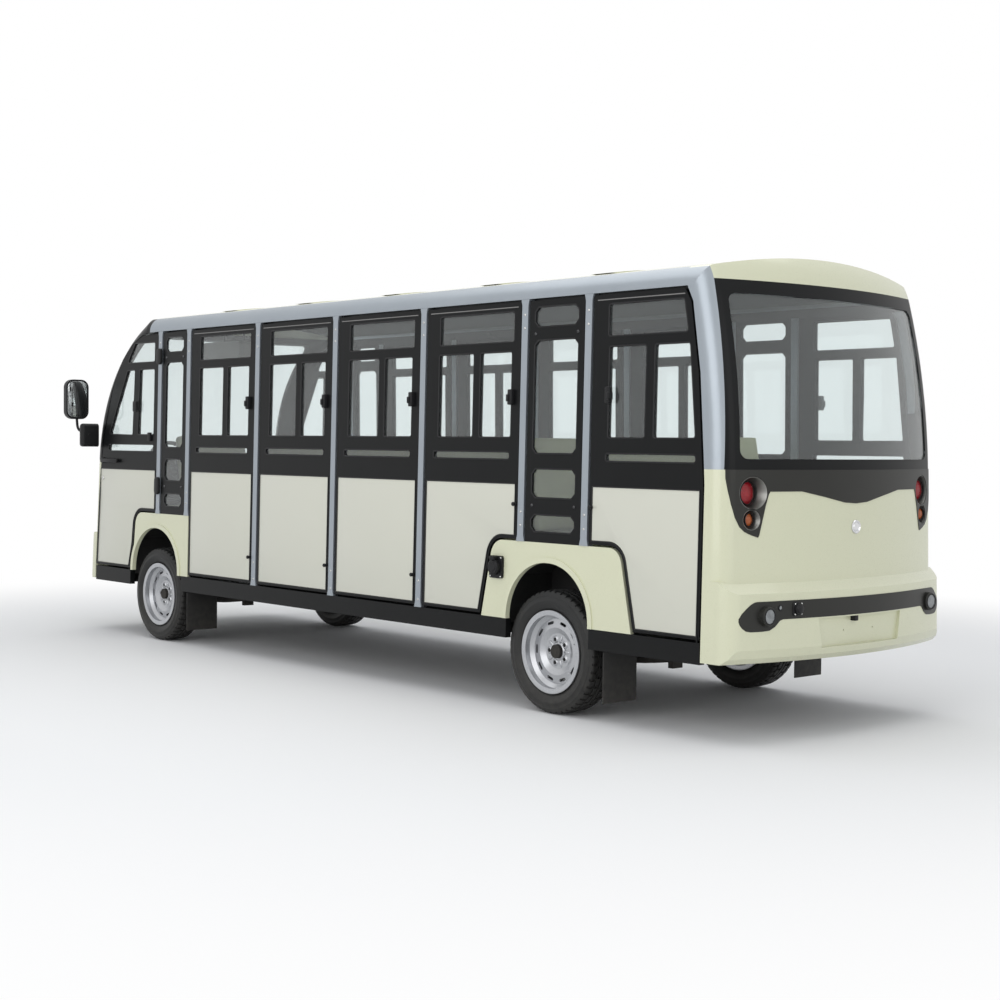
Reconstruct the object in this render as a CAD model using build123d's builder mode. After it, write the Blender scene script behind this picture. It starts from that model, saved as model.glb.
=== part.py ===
from build123d import *
import os
from math import cos, radians, sin, tan

os.makedirs("parts", exist_ok=True)

# Closed electric sightseeing bus with six seat rows and a hinged door at each row on both sides.
# +X is forward, +Y the left side, +Z up. The origin is on the ground below the middle of the bus.

# Wheels: 175/65 R14 tyres on pressed steel rims
WHEELBASE = 3620.0
REAR_AXLE_X = -1680.0
FRONT_AXLE_X = REAR_AXLE_X + WHEELBASE
TYRE_RADIUS = 291.5
TYRE_WIDTH = 175.0
WHEEL_Y = 669.5
RIM_RADIUS = 178.0
FLANGE_RADIUS = 195.5
STUB_RADIUS = 32.0
RUNNING = 0.05

# Body sides: flat, leaning in by one degree
HALF_WIDTH = 776.0
LEAN = radians(1.0)
SILL_BOTTOM = 335.0
SILL_TOP = 428.0
FLOOR_TOP = 425.0
FLOOR_BOTTOM = 400.0
DOOR_BOTTOM = 440.0
ARCH_PANEL_TOP = 803.0
BELT = 1073.0
DOOR_TOP = 1937.0
RAIL_BOTTOM = 1948.0
RAIL_TOP = 2035.0
ROOF_TOP = 2100.0
WALL = 30.0
DOOR_DEPTH = 28.0

# Body ends: bowed in plan about an upright axis
REAR_BOW = 2500.0
REAR_X = -2861.0
FRONT_BOW = 3200.0
FRONT_X = 2880.0
CORNER = 90.0
REAR_BELT = 1165.0
FRONT_BELT = 1130.0
BUMPER_TOP = 684.0
BUMPER_PROUD = 45.0
BUMPER_SHOULDER = 40.0

# Posts between the doors, from the front: station along X and the height of the foot
ROW_PITCH = 765.0
POST_6 = REAR_AXLE_X + 190.0
FRONT_QUARTER = 345.0
REAR_QUARTER = 430.0
POSTS = (
    (POST_6 + 4 * ROW_PITCH + FRONT_QUARTER, ARCH_PANEL_TOP),
    (POST_6 + 4 * ROW_PITCH, ARCH_PANEL_TOP),
    (POST_6 + 3 * ROW_PITCH, SILL_TOP),
    (POST_6 + 2 * ROW_PITCH, SILL_TOP),
    (POST_6 + ROW_PITCH, SILL_TOP),
    (POST_6, ARCH_PANEL_TOP),
    (POST_6 - REAR_QUARTER, ARCH_PANEL_TOP),
)
POST_WIDTH = 42.0
EDGE = 30.0

# The left side's outer face. Sketches on it use X along the bus and the height up the face, and depth runs inward.
SKIN = Plane(
    origin=(0, HALF_WIDTH + SILL_BOTTOM * tan(LEAN), 0),
    x_dir=(1, 0, 0),
    z_dir=(0, -cos(LEAN), -sin(LEAN)),
)


def save(part, name):
    part.label = name
    export_step(part, f"parts/{name}.step")


def joined(*parts):
    """Several separate solids as one node."""
    return Compound(children=[solid for part in parts for solid in part.solids()])


def both_sides(part):
    return joined(part, mirror(part, about=Plane.XZ))


def block(x, y, z):
    """A box given by its low and high limits along each axis."""
    return Pos((x[0] + x[1]) / 2, (y[0] + y[1]) / 2, (z[0] + z[1]) / 2) * Box(x[1] - x[0], y[1] - y[0], z[1] - z[0])


def side_prism(points, radius=0.0):
    """A side-view outline carried across the whole width."""
    with BuildPart() as prism:
        with BuildSketch(Plane.XZ.offset(-1000)) as outline:
            Polygon(*points, align=None)
            if radius:
                fillet(outline.vertices(), radius)
        extrude(amount=2000)
    return prism.part


def end_prism(points, x, radius=0.0):
    """A rear-view outline carried from one station to another."""
    with BuildPart() as prism:
        with BuildSketch(Plane.YZ.offset(x[0])) as outline:
            Polygon(*points, align=None)
            if radius:
                fillet(outline.vertices(), radius)
        extrude(amount=x[1] - x[0])
    return prism.part


def corner_edges(solid):
    found = []
    for edge in solid.edges():
        low, high, middle = edge @ 0, edge @ 1, edge @ 0.5
        if min(abs(low.X), abs(high.X)) > 1300 and abs(low.Z - high.Z) > 5 and abs(middle.Y) > 600:
            found.append(edge)
    return found


def envelope(inset, proud=0.0):
    """The body's outer form, inset all round, with its bowed ends set out by proud."""
    low_y = HALF_WIDTH + (SILL_BOTTOM - 100) * tan(LEAN) - inset
    high_y = HALF_WIDTH - (2400 - SILL_BOTTOM) * tan(LEAN) - inset
    end = proud - inset
    corner = CORNER - inset
    front_axis = FRONT_X - FRONT_BOW
    rear_axis = REAR_X - 24 + REAR_BOW
    with BuildPart() as sides:
        with BuildSketch(Plane.YZ.offset(-3000)):
            Polygon((low_y, 100), (high_y, 2400), (-high_y, 2400), (-low_y, 100), align=None)
        extrude(amount=6000)
    with BuildPart() as nose:
        with BuildSketch(Plane.XZ):
            with BuildLine():
                Line((front_axis, 100), (2880 + end, 100))
                face = Line((2880 + end, 100), (2838 + end, FRONT_BELT))
                screen = TangentArc(face @ 1, (2300 + end, 1990 - inset), tangent=face % 1)
                brow = Line(screen @ 1, screen @ 1 + (screen % 1) * 900)
                Polyline(brow @ 1, (front_axis, (brow @ 1).Y), (front_axis, 100))
            make_face()
        revolve(axis=Axis((front_axis, 0, 0), (0, 0, 1)))
    with BuildPart() as tail:
        with BuildSketch(Plane.XZ):
            with BuildLine():
                Line((rear_axis, 100), (-2868 - end, 100))
                face = Line((-2868 - end, 100), (-2850 - end, 1128))
                screen = TangentArc(face @ 1, (-2735 - end, 1965), tangent=face % 1)
                brow = TangentArc(screen @ 1, (-2590 - end, 2160), tangent=screen % 1)
                Polyline(brow @ 1, (rear_axis, 2160), (rear_axis, 100))
            make_face()
        revolve(axis=Axis((rear_axis, 0, 0), (0, 0, 1)))
    front = (sides.part & block((0, 3100), (-1000, 1000), (0, 2600))) & nose.part
    rear = (sides.part & block((-3100, 0), (-1000, 1000), (0, 2600))) & tail.part
    front = front.fillet(corner, corner_edges(front))
    rear = rear.fillet(corner, corner_edges(rear))
    rail_y = HALF_WIDTH - (1951 - SILL_BOTTOM) * tan(LEAN) - inset
    with BuildPart() as crown:
        with BuildSketch(Plane.YZ.offset(-3100)):
            with BuildLine():
                left = Line((low_y + 2, 50), (rail_y, 1951))
                shoulder = TangentArc(left @ 1, (rail_y - 56, RAIL_TOP - inset), tangent=left % 1)
                ThreePointArc(shoulder @ 1, (0, ROOF_TOP - inset), (56 - rail_y, RAIL_TOP - inset))
                right = Line((-low_y - 2, 50), (-rail_y, 1951))
                TangentArc(right @ 1, (56 - rail_y, RAIL_TOP - inset), tangent=right % 1)
                Line((-low_y - 2, 50), (low_y + 2, 50))
            make_face()
        extrude(amount=6200)
    return (front + rear) & crown.part


outer = envelope(0)
inner = envelope(WALL)
glass_outer = envelope(5)
glass_inner = envelope(11)

# Body ends' dividing lines in the side view
DOOR_1_FRONT = (
    (2716, 430),
    (2690, 896),
    (2670, 1081),
    (2658, 1164),
    (2630, 1312),
    (2575, 1470),
    (2510, 1645),
    (2403, 1786),
    (2278, 1884),
    (2146, 1930),
)
ARCH_HALF = 279.0
ARCH_TOP = 710.0


def arch_outline(axle_x):
    """The wheel opening as seen from the side."""
    with BuildLine() as line:
        lower_front = (axle_x + ARCH_HALF, 250)
        lower_rear = (axle_x - ARCH_HALF, 250)
        Polyline((axle_x - ARCH_HALF, 425), lower_rear, lower_front, (axle_x + ARCH_HALF, 425))
        ThreePointArc((axle_x - ARCH_HALF, 425), (axle_x - 205, 625), (axle_x, ARCH_TOP))
        ThreePointArc((axle_x, ARCH_TOP), (axle_x + 205, 625), (axle_x + ARCH_HALF, 425))
    return make_face(line.line)


def arch_prism(axle_x):
    with BuildPart() as prism:
        with BuildSketch(Plane.XZ.offset(-1000)):
            add(arch_outline(axle_x))
        extrude(amount=2000)
    return prism.part


rear_end = side_prism(
    (
        (-3000, 300),
        (-2637, 300),
        (-2637, 1100),
        (-2630, 1200),
        (-2599, 1573),
        (-2547, 1881),
        (-2512, RAIL_BOTTOM),
        (-2460, RAIL_BOTTOM),
        (-2460, 2200),
        (-3000, 2200),
    )
)
front_curve = [(x + 8, z + (0 if z < 1700 else 4)) for x, z in DOOR_1_FRONT]
front_end = side_prism((*front_curve, (2060, RAIL_BOTTOM), (2060, 2200), (3000, 2200), (3000, 300), (front_curve[0][0], 300)))
side_zone = side_prism(((-2460, RAIL_BOTTOM), (2060, RAIL_BOTTOM), (2060, 2200), (-2460, 2200)))
shell = outer - inner

# Roof: crowned skin with its ends turned down between the corner posts
END_ROOF_BOTTOM = 1975.0
roof_zone = block((-3000, 3000), (-1000, 1000), (RAIL_TOP, 2200))
roof_zone += block((-3000, -2480), (-704, 704), (END_ROOF_BOTTOM, 2200))
roof_zone += block((2110, 3000), (-686, 686), (END_ROOF_BOTTOM, 2200))
roof = shell & roof_zone
RIB_STATIONS = (1413, 620, -196, -1020, -1817)
for x in RIB_STATIONS:
    roof += (outer & block((x - 70, x + 70), (-640, 640), (RAIL_TOP + 20, 2200))).moved(Location((0, 0, 5))) - inner
save(roof, "roof")

# Cant rails along both sides and the corner posts that turn down behind the rear doors
rail = (shell & side_zone) - roof_zone
corner_post = (shell & rear_end & block((-3000, -2300), (-1000, 1000), (REAR_BELT, 2200))) - roof_zone
REAR_GLASS = ((-738, REAR_BELT), (738, REAR_BELT), (704, END_ROOF_BOTTOM), (-704, END_ROOF_BOTTOM))
rear_glass_zone = end_prism(REAR_GLASS, (-3000, -2560), 20)
corner_post = corner_post - end_prism(REAR_GLASS, (-3000, -2560))

# Rear window: black border with the tinted pane set in it
REAR_PANE = ((-673, 1210), (673, 1210), (655, 1915), (-655, 1915))
pane_zone = end_prism(REAR_PANE, (-3000, -2560), 40)
border_zone = end_prism(REAR_GLASS, (-3000, -2560))
def split_frame(frame, low, high, y):
    """A window frame as its foot, its header and its two side members."""
    ends = (-3100, 3100)
    return joined(
        frame & block(ends, (-1000, 1000), (300, low)),
        frame & block(ends, (-1000, 1000), (high, 2300)),
        frame & block(ends, (y, 1000), (low, high)),
        frame & block(ends, (-1000, -y), (low, high)),
    )


rear_border = split_frame((shell & border_zone & rear_end) - pane_zone - roof_zone, 1210, 1915, 300)
rear_window = (glass_outer - glass_inner) & pane_zone

# Front: pillars and header round one large windscreen
SCREEN = ((-668, 1180), (668, 1180), (640, 1935), (-640, 1935))
screen_zone = end_prism(SCREEN, (2200, 3000), 45)
front_upper = (shell & front_end & block((2060, 3000), (-1000, 1000), (FRONT_BELT, 2200))) - roof_zone
screen_frame = split_frame(front_upper - screen_zone, 1180, 1935, 300)
windscreen = (glass_outer - glass_inner) & screen_zone

# Rear cowl: fascia with a proud bumper, a recess for the dark lamp trim and one for the bumper strip
bumper_outer = envelope(0, BUMPER_PROUD)


def bumper_turning(axis_x, end_x, top, foot):
    """What a bumper may fill: turned about the bow's axis, with a sloping shoulder and a tucked foot."""
    out = 1 if end_x > axis_x else -1
    full = end_x + out * (BUMPER_PROUD + 14)
    slope = BUMPER_SHOULDER / BUMPER_PROUD
    with BuildPart() as turned:
        with BuildSketch(Plane.XZ):
            Polygon(
                (axis_x, foot),
                (end_x + out * 8, foot),
                (end_x + out * 34, foot + 24),
                (full, foot + 84),
                (full, top - slope * (BUMPER_PROUD + 14)),
                (end_x - out * 10, top + slope * 10),
                (axis_x, top + slope * 10),
                align=None,
            )
        revolve(axis=Axis((axis_x, 0, 0), (0, 0, 1)))
    return turned.part


rear_low = rear_end & block((-3000, -2400), (-1000, 1000), (345, REAR_BELT))
fascia = (outer & rear_low) - inner
bumper_zone = bumper_turning(REAR_X - 24 + REAR_BOW, -2858, BUMPER_TOP, 345) & rear_end
rear_cowl = fascia + ((bumper_outer & bumper_zone) - inner)
LAMP_TRIM_HALF = (
    (735, REAR_BELT),
    (735, 1128),
    (728, 1077),
    (716, 1018),
    (700, 965),
    (678, 924),
    (654, 903),
    (622, 889),
    (587, 878),
    (581, 888),
    (548, 1012),
    (532, 1060),
    (524, 1072),
    (349, 1072),
    (200, 1045),
    (80, 1021),
)
LAMP_TRIM = (*LAMP_TRIM_HALF, (0, 1016), *[(-y, z) for y, z in LAMP_TRIM_HALF[::-1]])
lamp_trim_zone = end_prism(LAMP_TRIM, (-3000, -2600))
trim_back = envelope(14)
STRIP_HALF = (
    (472, 611),
    (632, 610),
    (647, 607),
    (663, 599),
    (687, 580),
    (708, 560),
    (721, 540),
    (721, 528),
    (717, 516),
    (706, 501),
    (687, 488),
    (664, 484),
    (612, 484),
    (571, 487),
    (542, 502),
    (516, 527),
    (500, 532),
    (317, 532),
)
STRIP = (*STRIP_HALF, *[(-y, z) for y, z in STRIP_HALF[::-1]])
strip_zone = end_prism(STRIP, (-3000, -2600))
PLATE = ((-298, 526), (298, 526), (275, 398), (-275, 398))
PLATE_FACE = -2876.0
plate_zone = end_prism(PLATE, (-3000, PLATE_FACE))
PLATE_BOLT_SPACING = 210.0
PLATE_BOLT_Z = 462.0
PLATE_BOLT_RADIUS = 3.3
with BuildPart() as plate_bolts:
    with BuildSketch(Plane.YZ.offset(PLATE_FACE)):
        with Locations((PLATE_BOLT_SPACING / 2, PLATE_BOLT_Z), (-PLATE_BOLT_SPACING / 2, PLATE_BOLT_Z)):
            Circle(PLATE_BOLT_RADIUS)
    extrude(amount=20)
strip_back = envelope(14, BUMPER_PROUD)
rear_cowl -= lamp_trim_zone & (outer - trim_back)
rear_cowl -= strip_zone & (bumper_outer - strip_back)
rear_cowl -= plate_zone + plate_bolts.part
# Round tail lamps, each at the bottom of a conical cup in the trim: place, lens and cup radii, cup depth
TAIL_LAMPS = (
    ("red", 616, 1066, 50, 69, 42),
    ("amber", 622, 953, 30, 43, 26),
)
CUP_FLOOR_X = -2772.0
CUP_WALL = 3.0
LENS_DEPTH = 22.0
LENS_BULGE = 13.0
trim = (lamp_trim_zone & (envelope(0, 3) - trim_back)) & rear_end
strip = (strip_zone & (envelope(0, BUMPER_PROUD + 2) - strip_back)) & rear_end
lamp_front = envelope(0, 8)
lamp_back = envelope(WALL - 2)
fog_front = envelope(0, BUMPER_PROUD + 7)
lamps = {}
cups = []
cup_zones = []
for name, y, z, radius, mouth, depth in TAIL_LAMPS:
    bottom = CUP_FLOOR_X + depth
    flare = (mouth - radius - 2) / depth
    dome = (radius**2 + LENS_BULGE**2) / (2 * LENS_BULGE)
    lenses = []
    for side in (1, -1):
        with BuildPart() as lens:
            with BuildSketch(Plane.YZ.offset(bottom)):
                with Locations((side * y, z)):
                    Circle(radius)
            extrude(amount=-LENS_DEPTH)
            with Locations((bottom - LENS_DEPTH + dome, side * y, z)):
                Sphere(dome, mode=Mode.INTERSECT)
        lenses.append(lens.part)
        for grow, store in ((0.0, "hollow"), (CUP_WALL, "zone")):
            reach = 80.0
            with BuildPart() as cone:
                with BuildSketch(Plane.XZ.offset(-side * y)):
                    Polygon(
                        (bottom + grow, z),
                        (bottom + grow, z + radius + 2 + grow),
                        (bottom - reach, z + radius + 2 + grow + reach * flare),
                        (bottom - reach, z),
                        align=None,
                    )
                revolve(axis=Axis((bottom, side * y, z), (1, 0, 0)))
            if store == "hollow":
                hollow = cone.part
            else:
                cup_zones.append(cone.part)
                cups.append((cone.part - hollow) & envelope(0, 3))
        trim -= hollow
    lamps[name] = joined(*lenses)
for cup in cups:
    trim += cup
for zone in cup_zones:
    rear_cowl -= zone
save(lamps["red"], "tail_lamps")
# Fog lamps at both ends of the strip, each in a round hood that faces straight back
FOG_PLACES = ((587, 548), (-587, 548))
FOG_RADIUS = 35.0
FOG_FACE_X = -2859.0
with BuildPart() as hoods:
    with BuildSketch(Plane.YZ.offset(FOG_FACE_X)):
        with Locations(*FOG_PLACES):
            Circle(FOG_RADIUS + 7)
    extrude(amount=70)
    chamfer(hoods.faces().sort_by(Axis.X)[0].edges() + hoods.faces().sort_by(Axis.X)[1].edges(), 3)
with BuildPart() as fogs:
    with BuildSketch(Plane.YZ.offset(FOG_FACE_X + 1)):
        with Locations(*FOG_PLACES):
            Circle(FOG_RADIUS)
    extrude(amount=8)
rear_fogs = fogs.part
with BuildPart() as fog_seats:
    with BuildSketch(Plane.YZ.offset(FOG_FACE_X - 20)):
        with Locations(*FOG_PLACES):
            Circle(FOG_RADIUS)
    extrude(amount=29)
strip += hoods.part - strip_back
strip -= fog_seats.part
save(rear_cowl, "rear_cowl")

# Front cowl in the same manner, with round headlamps in dark trim
front_low = front_end & block((2400, 3100), (-1000, 1000), (345, FRONT_BELT))
front_cowl = (outer & front_low) - inner
front_cowl += (bumper_outer & front_low & bumper_turning(FRONT_X - FRONT_BOW, 2858, 640, 345)) - inner
NOSE_TRIM = ((-709, 1064), (709, 1064), *[(y * 0.965, z - 98) for y, z in LAMP_TRIM[1:-1]])
nose_trim_zone = end_prism(NOSE_TRIM, (2500, 3000))
nose_strip_zone = end_prism([(y * 0.96, z - 40) for y, z in STRIP], (2500, 3000))
front_cowl -= nose_trim_zone & (outer - trim_back)
front_cowl -= nose_strip_zone & (bumper_outer - strip_back)
nose_trim = (nose_trim_zone & (envelope(0, 3) - trim_back)) & front_end
nose_strip = (nose_strip_zone & (envelope(0, BUMPER_PROUD + 2) - strip_back)) & front_end
NOSE_LAMPS = (
    ("head", 610, 966, 58),
    ("turn", 606, 850, 32),
)
nose_bores = {}
for name, y, z, radius in NOSE_LAMPS:
    with BuildPart() as bores:
        with BuildSketch(Plane.YZ.offset(2500)):
            with Locations((y, z), (-y, z)):
                Circle(radius)
        extrude(amount=500)
    nose_bores[name] = bores.part
    nose_trim -= bores.part
with BuildPart() as fog_bores:
    with BuildSketch(Plane.YZ.offset(2500)):
        with Locations((545, 514), (-545, 514)):
            Circle(36)
    extrude(amount=500)
headlamps = (nose_bores["head"] & lamp_front) - lamp_back
front_fogs = (fog_bores.part & fog_front) - strip_back
save(joined(headlamps, front_fogs, rear_fogs), "clear_lamps")
turn_lamps = (nose_bores["turn"] & lamp_front) - lamp_back
save(joined(turn_lamps, lamps["amber"]), "turn_lamps")
save(joined(trim, strip, nose_trim, nose_strip - fog_bores.part), "lamp_trims")
save(front_cowl - headlamps - turn_lamps - front_fogs, "front_cowl")

# Hinge pins of the doors, in the plane of the body side, one in the sill or arch panel and one in the cant rail
# The rearmost door's pin is at the skin, since its edge curves forward above the hinge
HINGE_IN = 12.0
HINGE_DEPTH = 7.0
HINGE_PIN = 4.0
HINGES = (
    (1, POSTS[0][0] + EDGE + HINGE_IN, HINGE_DEPTH, ARCH_PANEL_TOP, 812.0, 1935.0),
    (2, POSTS[1][0] - EDGE - HINGE_IN, HINGE_DEPTH, SILL_TOP, DOOR_BOTTOM, DOOR_TOP),
    (3, POSTS[2][0] - EDGE - HINGE_IN, HINGE_DEPTH, SILL_TOP, DOOR_BOTTOM, DOOR_TOP),
    (4, POSTS[3][0] - EDGE - HINGE_IN, HINGE_DEPTH, SILL_TOP, DOOR_BOTTOM, DOOR_TOP),
    (5, POSTS[4][0] - EDGE - HINGE_IN, HINGE_DEPTH, SILL_TOP, DOOR_BOTTOM, DOOR_TOP),
    (6, -2629 + HINGE_IN, 0.0, SILL_TOP, DOOR_BOTTOM, None),
)


def upright(x, depth, low, high, radius):
    """A round bar along the left side, on a door's hinge line."""
    base = SKIN.from_local_coords((x, low, depth))
    with BuildPart() as bar:
        with BuildSketch(Plane(origin=base, x_dir=(1, 0, 0), z_dir=SKIN.y_dir)):
            Circle(radius)
        extrude(amount=high - low)
    return bar.part


low_pins = [upright(x, depth, seat, door_low + 26, HINGE_PIN) for _, x, depth, seat, door_low, _ in HINGES]
high_pins = [
    upright(x, depth, door_high - 26, RAIL_BOTTOM - 0.2, HINGE_PIN) for _, x, depth, _, _, door_high in HINGES if door_high
]
save(both_sides(joined(*low_pins, *high_pins)), "hinge_pins")
save(joined(rail, corner_post), "cant_rails")

# Side posts: seven on each side, flared where they meet the sill, the arch panels and the cant rail
POST_PROUD = 5.0
with BuildPart() as posts:
    for x, foot in POSTS:
        half = POST_WIDTH / 2
        with BuildSketch(SKIN.offset(-POST_PROUD)):
            Polygon(
                (x - half - 7, foot),
                (x + half + 7, foot),
                (x + half + 5, foot + 9),
                (x + half, foot + 30),
                (x + half, RAIL_BOTTOM - 30),
                (x + half + 5, RAIL_BOTTOM - 9),
                (x + half + 7, RAIL_BOTTOM - 1),
                (x - half - 7, RAIL_BOTTOM - 1),
                (x - half - 5, RAIL_BOTTOM - 9),
                (x - half, RAIL_BOTTOM - 30),
                (x - half, foot + 30),
                (x - half - 5, foot + 9),
                align=None,
            )
        extrude(amount=DOOR_DEPTH + POST_PROUD)
save(both_sides(posts.part), "side_posts")

# Arch panels over the four wheels, each with a raised lip round its opening
ARCH_DEPTH = 20.0
LIP = 26.0
ARCH_CORNER = 82.0
ARCH_PANELS = (
    (FRONT_AXLE_X, ((1548, SILL_TOP), (1548, ARCH_PANEL_TOP), (2193, ARCH_PANEL_TOP), (2213, 599), (2251, SILL_TOP)), (2193,)),
    (
        REAR_AXLE_X,
        ((-1216, SILL_TOP), (-1292, ARCH_PANEL_TOP), (-2143, ARCH_PANEL_TOP), (-2227, SILL_TOP)),
        (-1292, -2143),
    ),
)


def at_stations(vertices, stations):
    """The corners of a sketch that lie at the given stations."""
    return [vertex for vertex in vertices if any(abs(vertex.X - station) < 0.5 for station in stations)]


with BuildPart() as arches:
    for axle_x, outline, rounded in ARCH_PANELS:
        with BuildSketch(SKIN) as panel_face:
            Polygon(*outline, align=None)
            fillet(at_stations(panel_face.vertices(), rounded), ARCH_CORNER)
            add(arch_outline(axle_x), mode=Mode.SUBTRACT)
        extrude(amount=ARCH_DEPTH)
        with BuildSketch(SKIN.offset(-6)):
            with BuildLine():
                ThreePointArc((axle_x - ARCH_HALF - LIP, SILL_TOP), (axle_x - 223, 645), (axle_x, ARCH_TOP + LIP))
                ThreePointArc((axle_x, ARCH_TOP + LIP), (axle_x + 223, 645), (axle_x + ARCH_HALF + LIP, SILL_TOP))
                Line((axle_x + ARCH_HALF + LIP, SILL_TOP), (axle_x - ARCH_HALF - LIP, SILL_TOP))
            make_face()
            add(arch_outline(axle_x), mode=Mode.SUBTRACT)
        extrude(amount=6)
save(both_sides(arches.part), "arch_panels")

# Doors: a flat frame with a shallow recess for the lower panel and an opening for each pane
D1_REAR = POSTS[0][0] + EDGE
D6_FRONT = POSTS[6][0] - EDGE
LOW_CUT_1 = ((2263, DOOR_BOTTOM), (2225, 599), (2202, 812), (D1_REAR, 812))
LOW_CUT_5 = ((-1460, 812), (-1280, 812), (-1205, DOOR_BOTTOM))
LOW_CUT_6 = ((D6_FRONT, 812), (-2155, 812), (-2239, DOOR_BOTTOM))
CUT_ROUND = 90.0
RECESS_ROUND = 108.0
DOOR_6_EDGE = ((-2629, DOOR_BOTTOM), (-2629, 1100), (-2619, 1200), (-2588, 1573), (-2536, 1880), (-2500, DOOR_TOP))


def rectangle(front, rear, low, high):
    return ((rear, low), (rear, high), (front, high), (front, low))


def plain_panes(front_post, rear_post):
    return (
        rectangle(front_post - 127, rear_post + 73, 1748, 1898),
        rectangle(front_post - 123, front_post - 397, 1292, 1708),
        rectangle(front_post - 439, rear_post + 87, 1292, 1708),
        rectangle(front_post - 91, rear_post + 93, 1187, 1228),
    )


plain = []
for index in (1, 2, 3):
    front_post, rear_post = POSTS[index][0], POSTS[index + 1][0]
    front, rear = front_post - EDGE, rear_post + EDGE
    plain.append((rectangle(front, rear, DOOR_BOTTOM, DOOR_TOP), rectangle(front - 18, rear + 18, DOOR_BOTTOM + 15, BELT), plain_panes(front_post, rear_post)))
front_5 = POSTS[4][0] - EDGE
DOORS = (
    (
        (*DOOR_1_FRONT[1:], (D1_REAR, DOOR_TOP - 2), *LOW_CUT_1[::-1], (2716, DOOR_BOTTOM)),
        ((2670, BELT), (D1_REAR + 18, BELT), (D1_REAR + 18, 830), (2220, 830), (2243, 605), (2282, DOOR_BOTTOM + 15), (2696, DOOR_BOTTOM + 15), (2672, 896)),
        (
            ((2245, 1889), (1985, 1887), (1985, 1757), (2349, 1757)),
            ((2340, 1716), (2236, 1719), (2254, 1293), (2574, 1298)),
            ((2182, 1719), (1985, 1719), (1985, 1296), (2196, 1296)),
            ((2582, 1189), (1985, 1189), (1985, 1240), (2572, 1240)),
        ),
    ),
    *plain,
    (
        ((front_5, DOOR_BOTTOM), (front_5, DOOR_TOP), (-1460, DOOR_TOP), *LOW_CUT_5),
        ((front_5 - 18, DOOR_BOTTOM + 15), (front_5 - 18, BELT), (-1442, BELT), (-1442, 830), (-1265, 830), (-1190, DOOR_BOTTOM + 15)),
        plain_panes(POSTS[4][0], POSTS[5][0]),
    ),
    (
        (*LOW_CUT_6[::-1], (D6_FRONT, DOOR_TOP), *DOOR_6_EDGE[::-1]),
        ((-2254, DOOR_BOTTOM + 15), (-2169, 830), (D6_FRONT - 18, 830), (D6_FRONT - 18, BELT), (-2611, BELT), (-2611, DOOR_BOTTOM + 15)),
        (
            ((-2042, 1748), (-2042, 1898), (-2500, 1898), (-2530, 1748)),
            rectangle(-2050, -2285, 1292, 1708),
            ((-2329, 1292), (-2329, 1708), (-2540, 1708), (-2582, 1292)),
            ((-2040, 1187), (-2040, 1228), (-2585, 1228), (-2588, 1187)),
        ),
    ),
)
PANEL_RECESS = 3.0
ROUNDED = {1: (2202, 2220), 5: (-1280, -1265), 6: (-2155, -2169)}
for number, (outline, panel, panes) in enumerate(DOORS, 1):
    with BuildPart() as door:
        with BuildSketch(SKIN) as leaf:
            Polygon(*outline, align=None)
            if number in ROUNDED:
                fillet(at_stations(leaf.vertices(), ROUNDED[number][:1]), CUT_ROUND)
        extrude(amount=DOOR_DEPTH)
        with BuildSketch(SKIN) as recess:
            Polygon(*panel, align=None)
            if number in ROUNDED:
                fillet(at_stations(recess.vertices(), ROUNDED[number][1:]), RECESS_ROUND)
        extrude(amount=PANEL_RECESS, mode=Mode.SUBTRACT)
        for pane in panes:
            with BuildSketch(SKIN) as hole:
                Polygon(*pane, align=None)
                fillet(hole.vertices(), 16)
            extrude(amount=DOOR_DEPTH, mode=Mode.SUBTRACT)
    with BuildPart() as glass:
        for pane in panes:
            with BuildSketch(SKIN.offset(8)) as hole:
                Polygon(*pane, align=None)
                fillet(hole.vertices(), 16)
            extrude(amount=5)
    hinged = door.part
    _, hinge_x, depth, _, door_low, door_high = HINGES[number - 1]
    hinged -= upright(hinge_x, depth, door_low - 5, door_low + 28, HINGE_PIN + RUNNING)
    if door_high:
        hinged -= upright(hinge_x, depth, door_high - 28, door_high + 5, HINGE_PIN + RUNNING)
    save(hinged, f"door_{number}_left")
    save(glass.part, f"door_{number}_left_glass")
    save(mirror(hinged, about=Plane.XZ), f"door_{number}_right")
    save(mirror(glass.part, about=Plane.XZ), f"door_{number}_right_glass")

# Fixed quarter windows over the arches, each a frame with four panes between bolted cross straps
QUARTERS = (
    (POSTS[0][0] - EDGE, POSTS[1][0] + EDGE),
    (POSTS[5][0] - EDGE, POSTS[6][0] + EDGE),
)
QUARTER_PANES = ((1811, 1910), (1218, 1754), (1010, 1151), (850, 936))
with BuildPart() as quarter_frames:
    for front, rear in QUARTERS:
        with BuildSketch(SKIN):
            Polygon(*rectangle(front, rear, ARCH_PANEL_TOP, DOOR_TOP), align=None)
        extrude(amount=ARCH_DEPTH)
        for low, high in QUARTER_PANES:
            with BuildSketch(SKIN) as hole:
                Polygon(*rectangle(front - 34, rear + 34, low, high), align=None)
                chamfer(hole.vertices(), 26)
            extrude(amount=ARCH_DEPTH, mode=Mode.SUBTRACT)
with BuildPart() as quarter_glass:
    for front, rear in QUARTERS:
        for low, high in QUARTER_PANES:
            with BuildSketch(SKIN.offset(7)) as hole:
                Polygon(*rectangle(front - 34, rear + 34, low, high), align=None)
                chamfer(hole.vertices(), 26)
            extrude(amount=5)
save(joined(both_sides(quarter_frames.part), rear_border, screen_frame), "window_frames")
save(joined(both_sides(quarter_glass.part), rear_window, windscreen), "fixed_glass")

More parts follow.
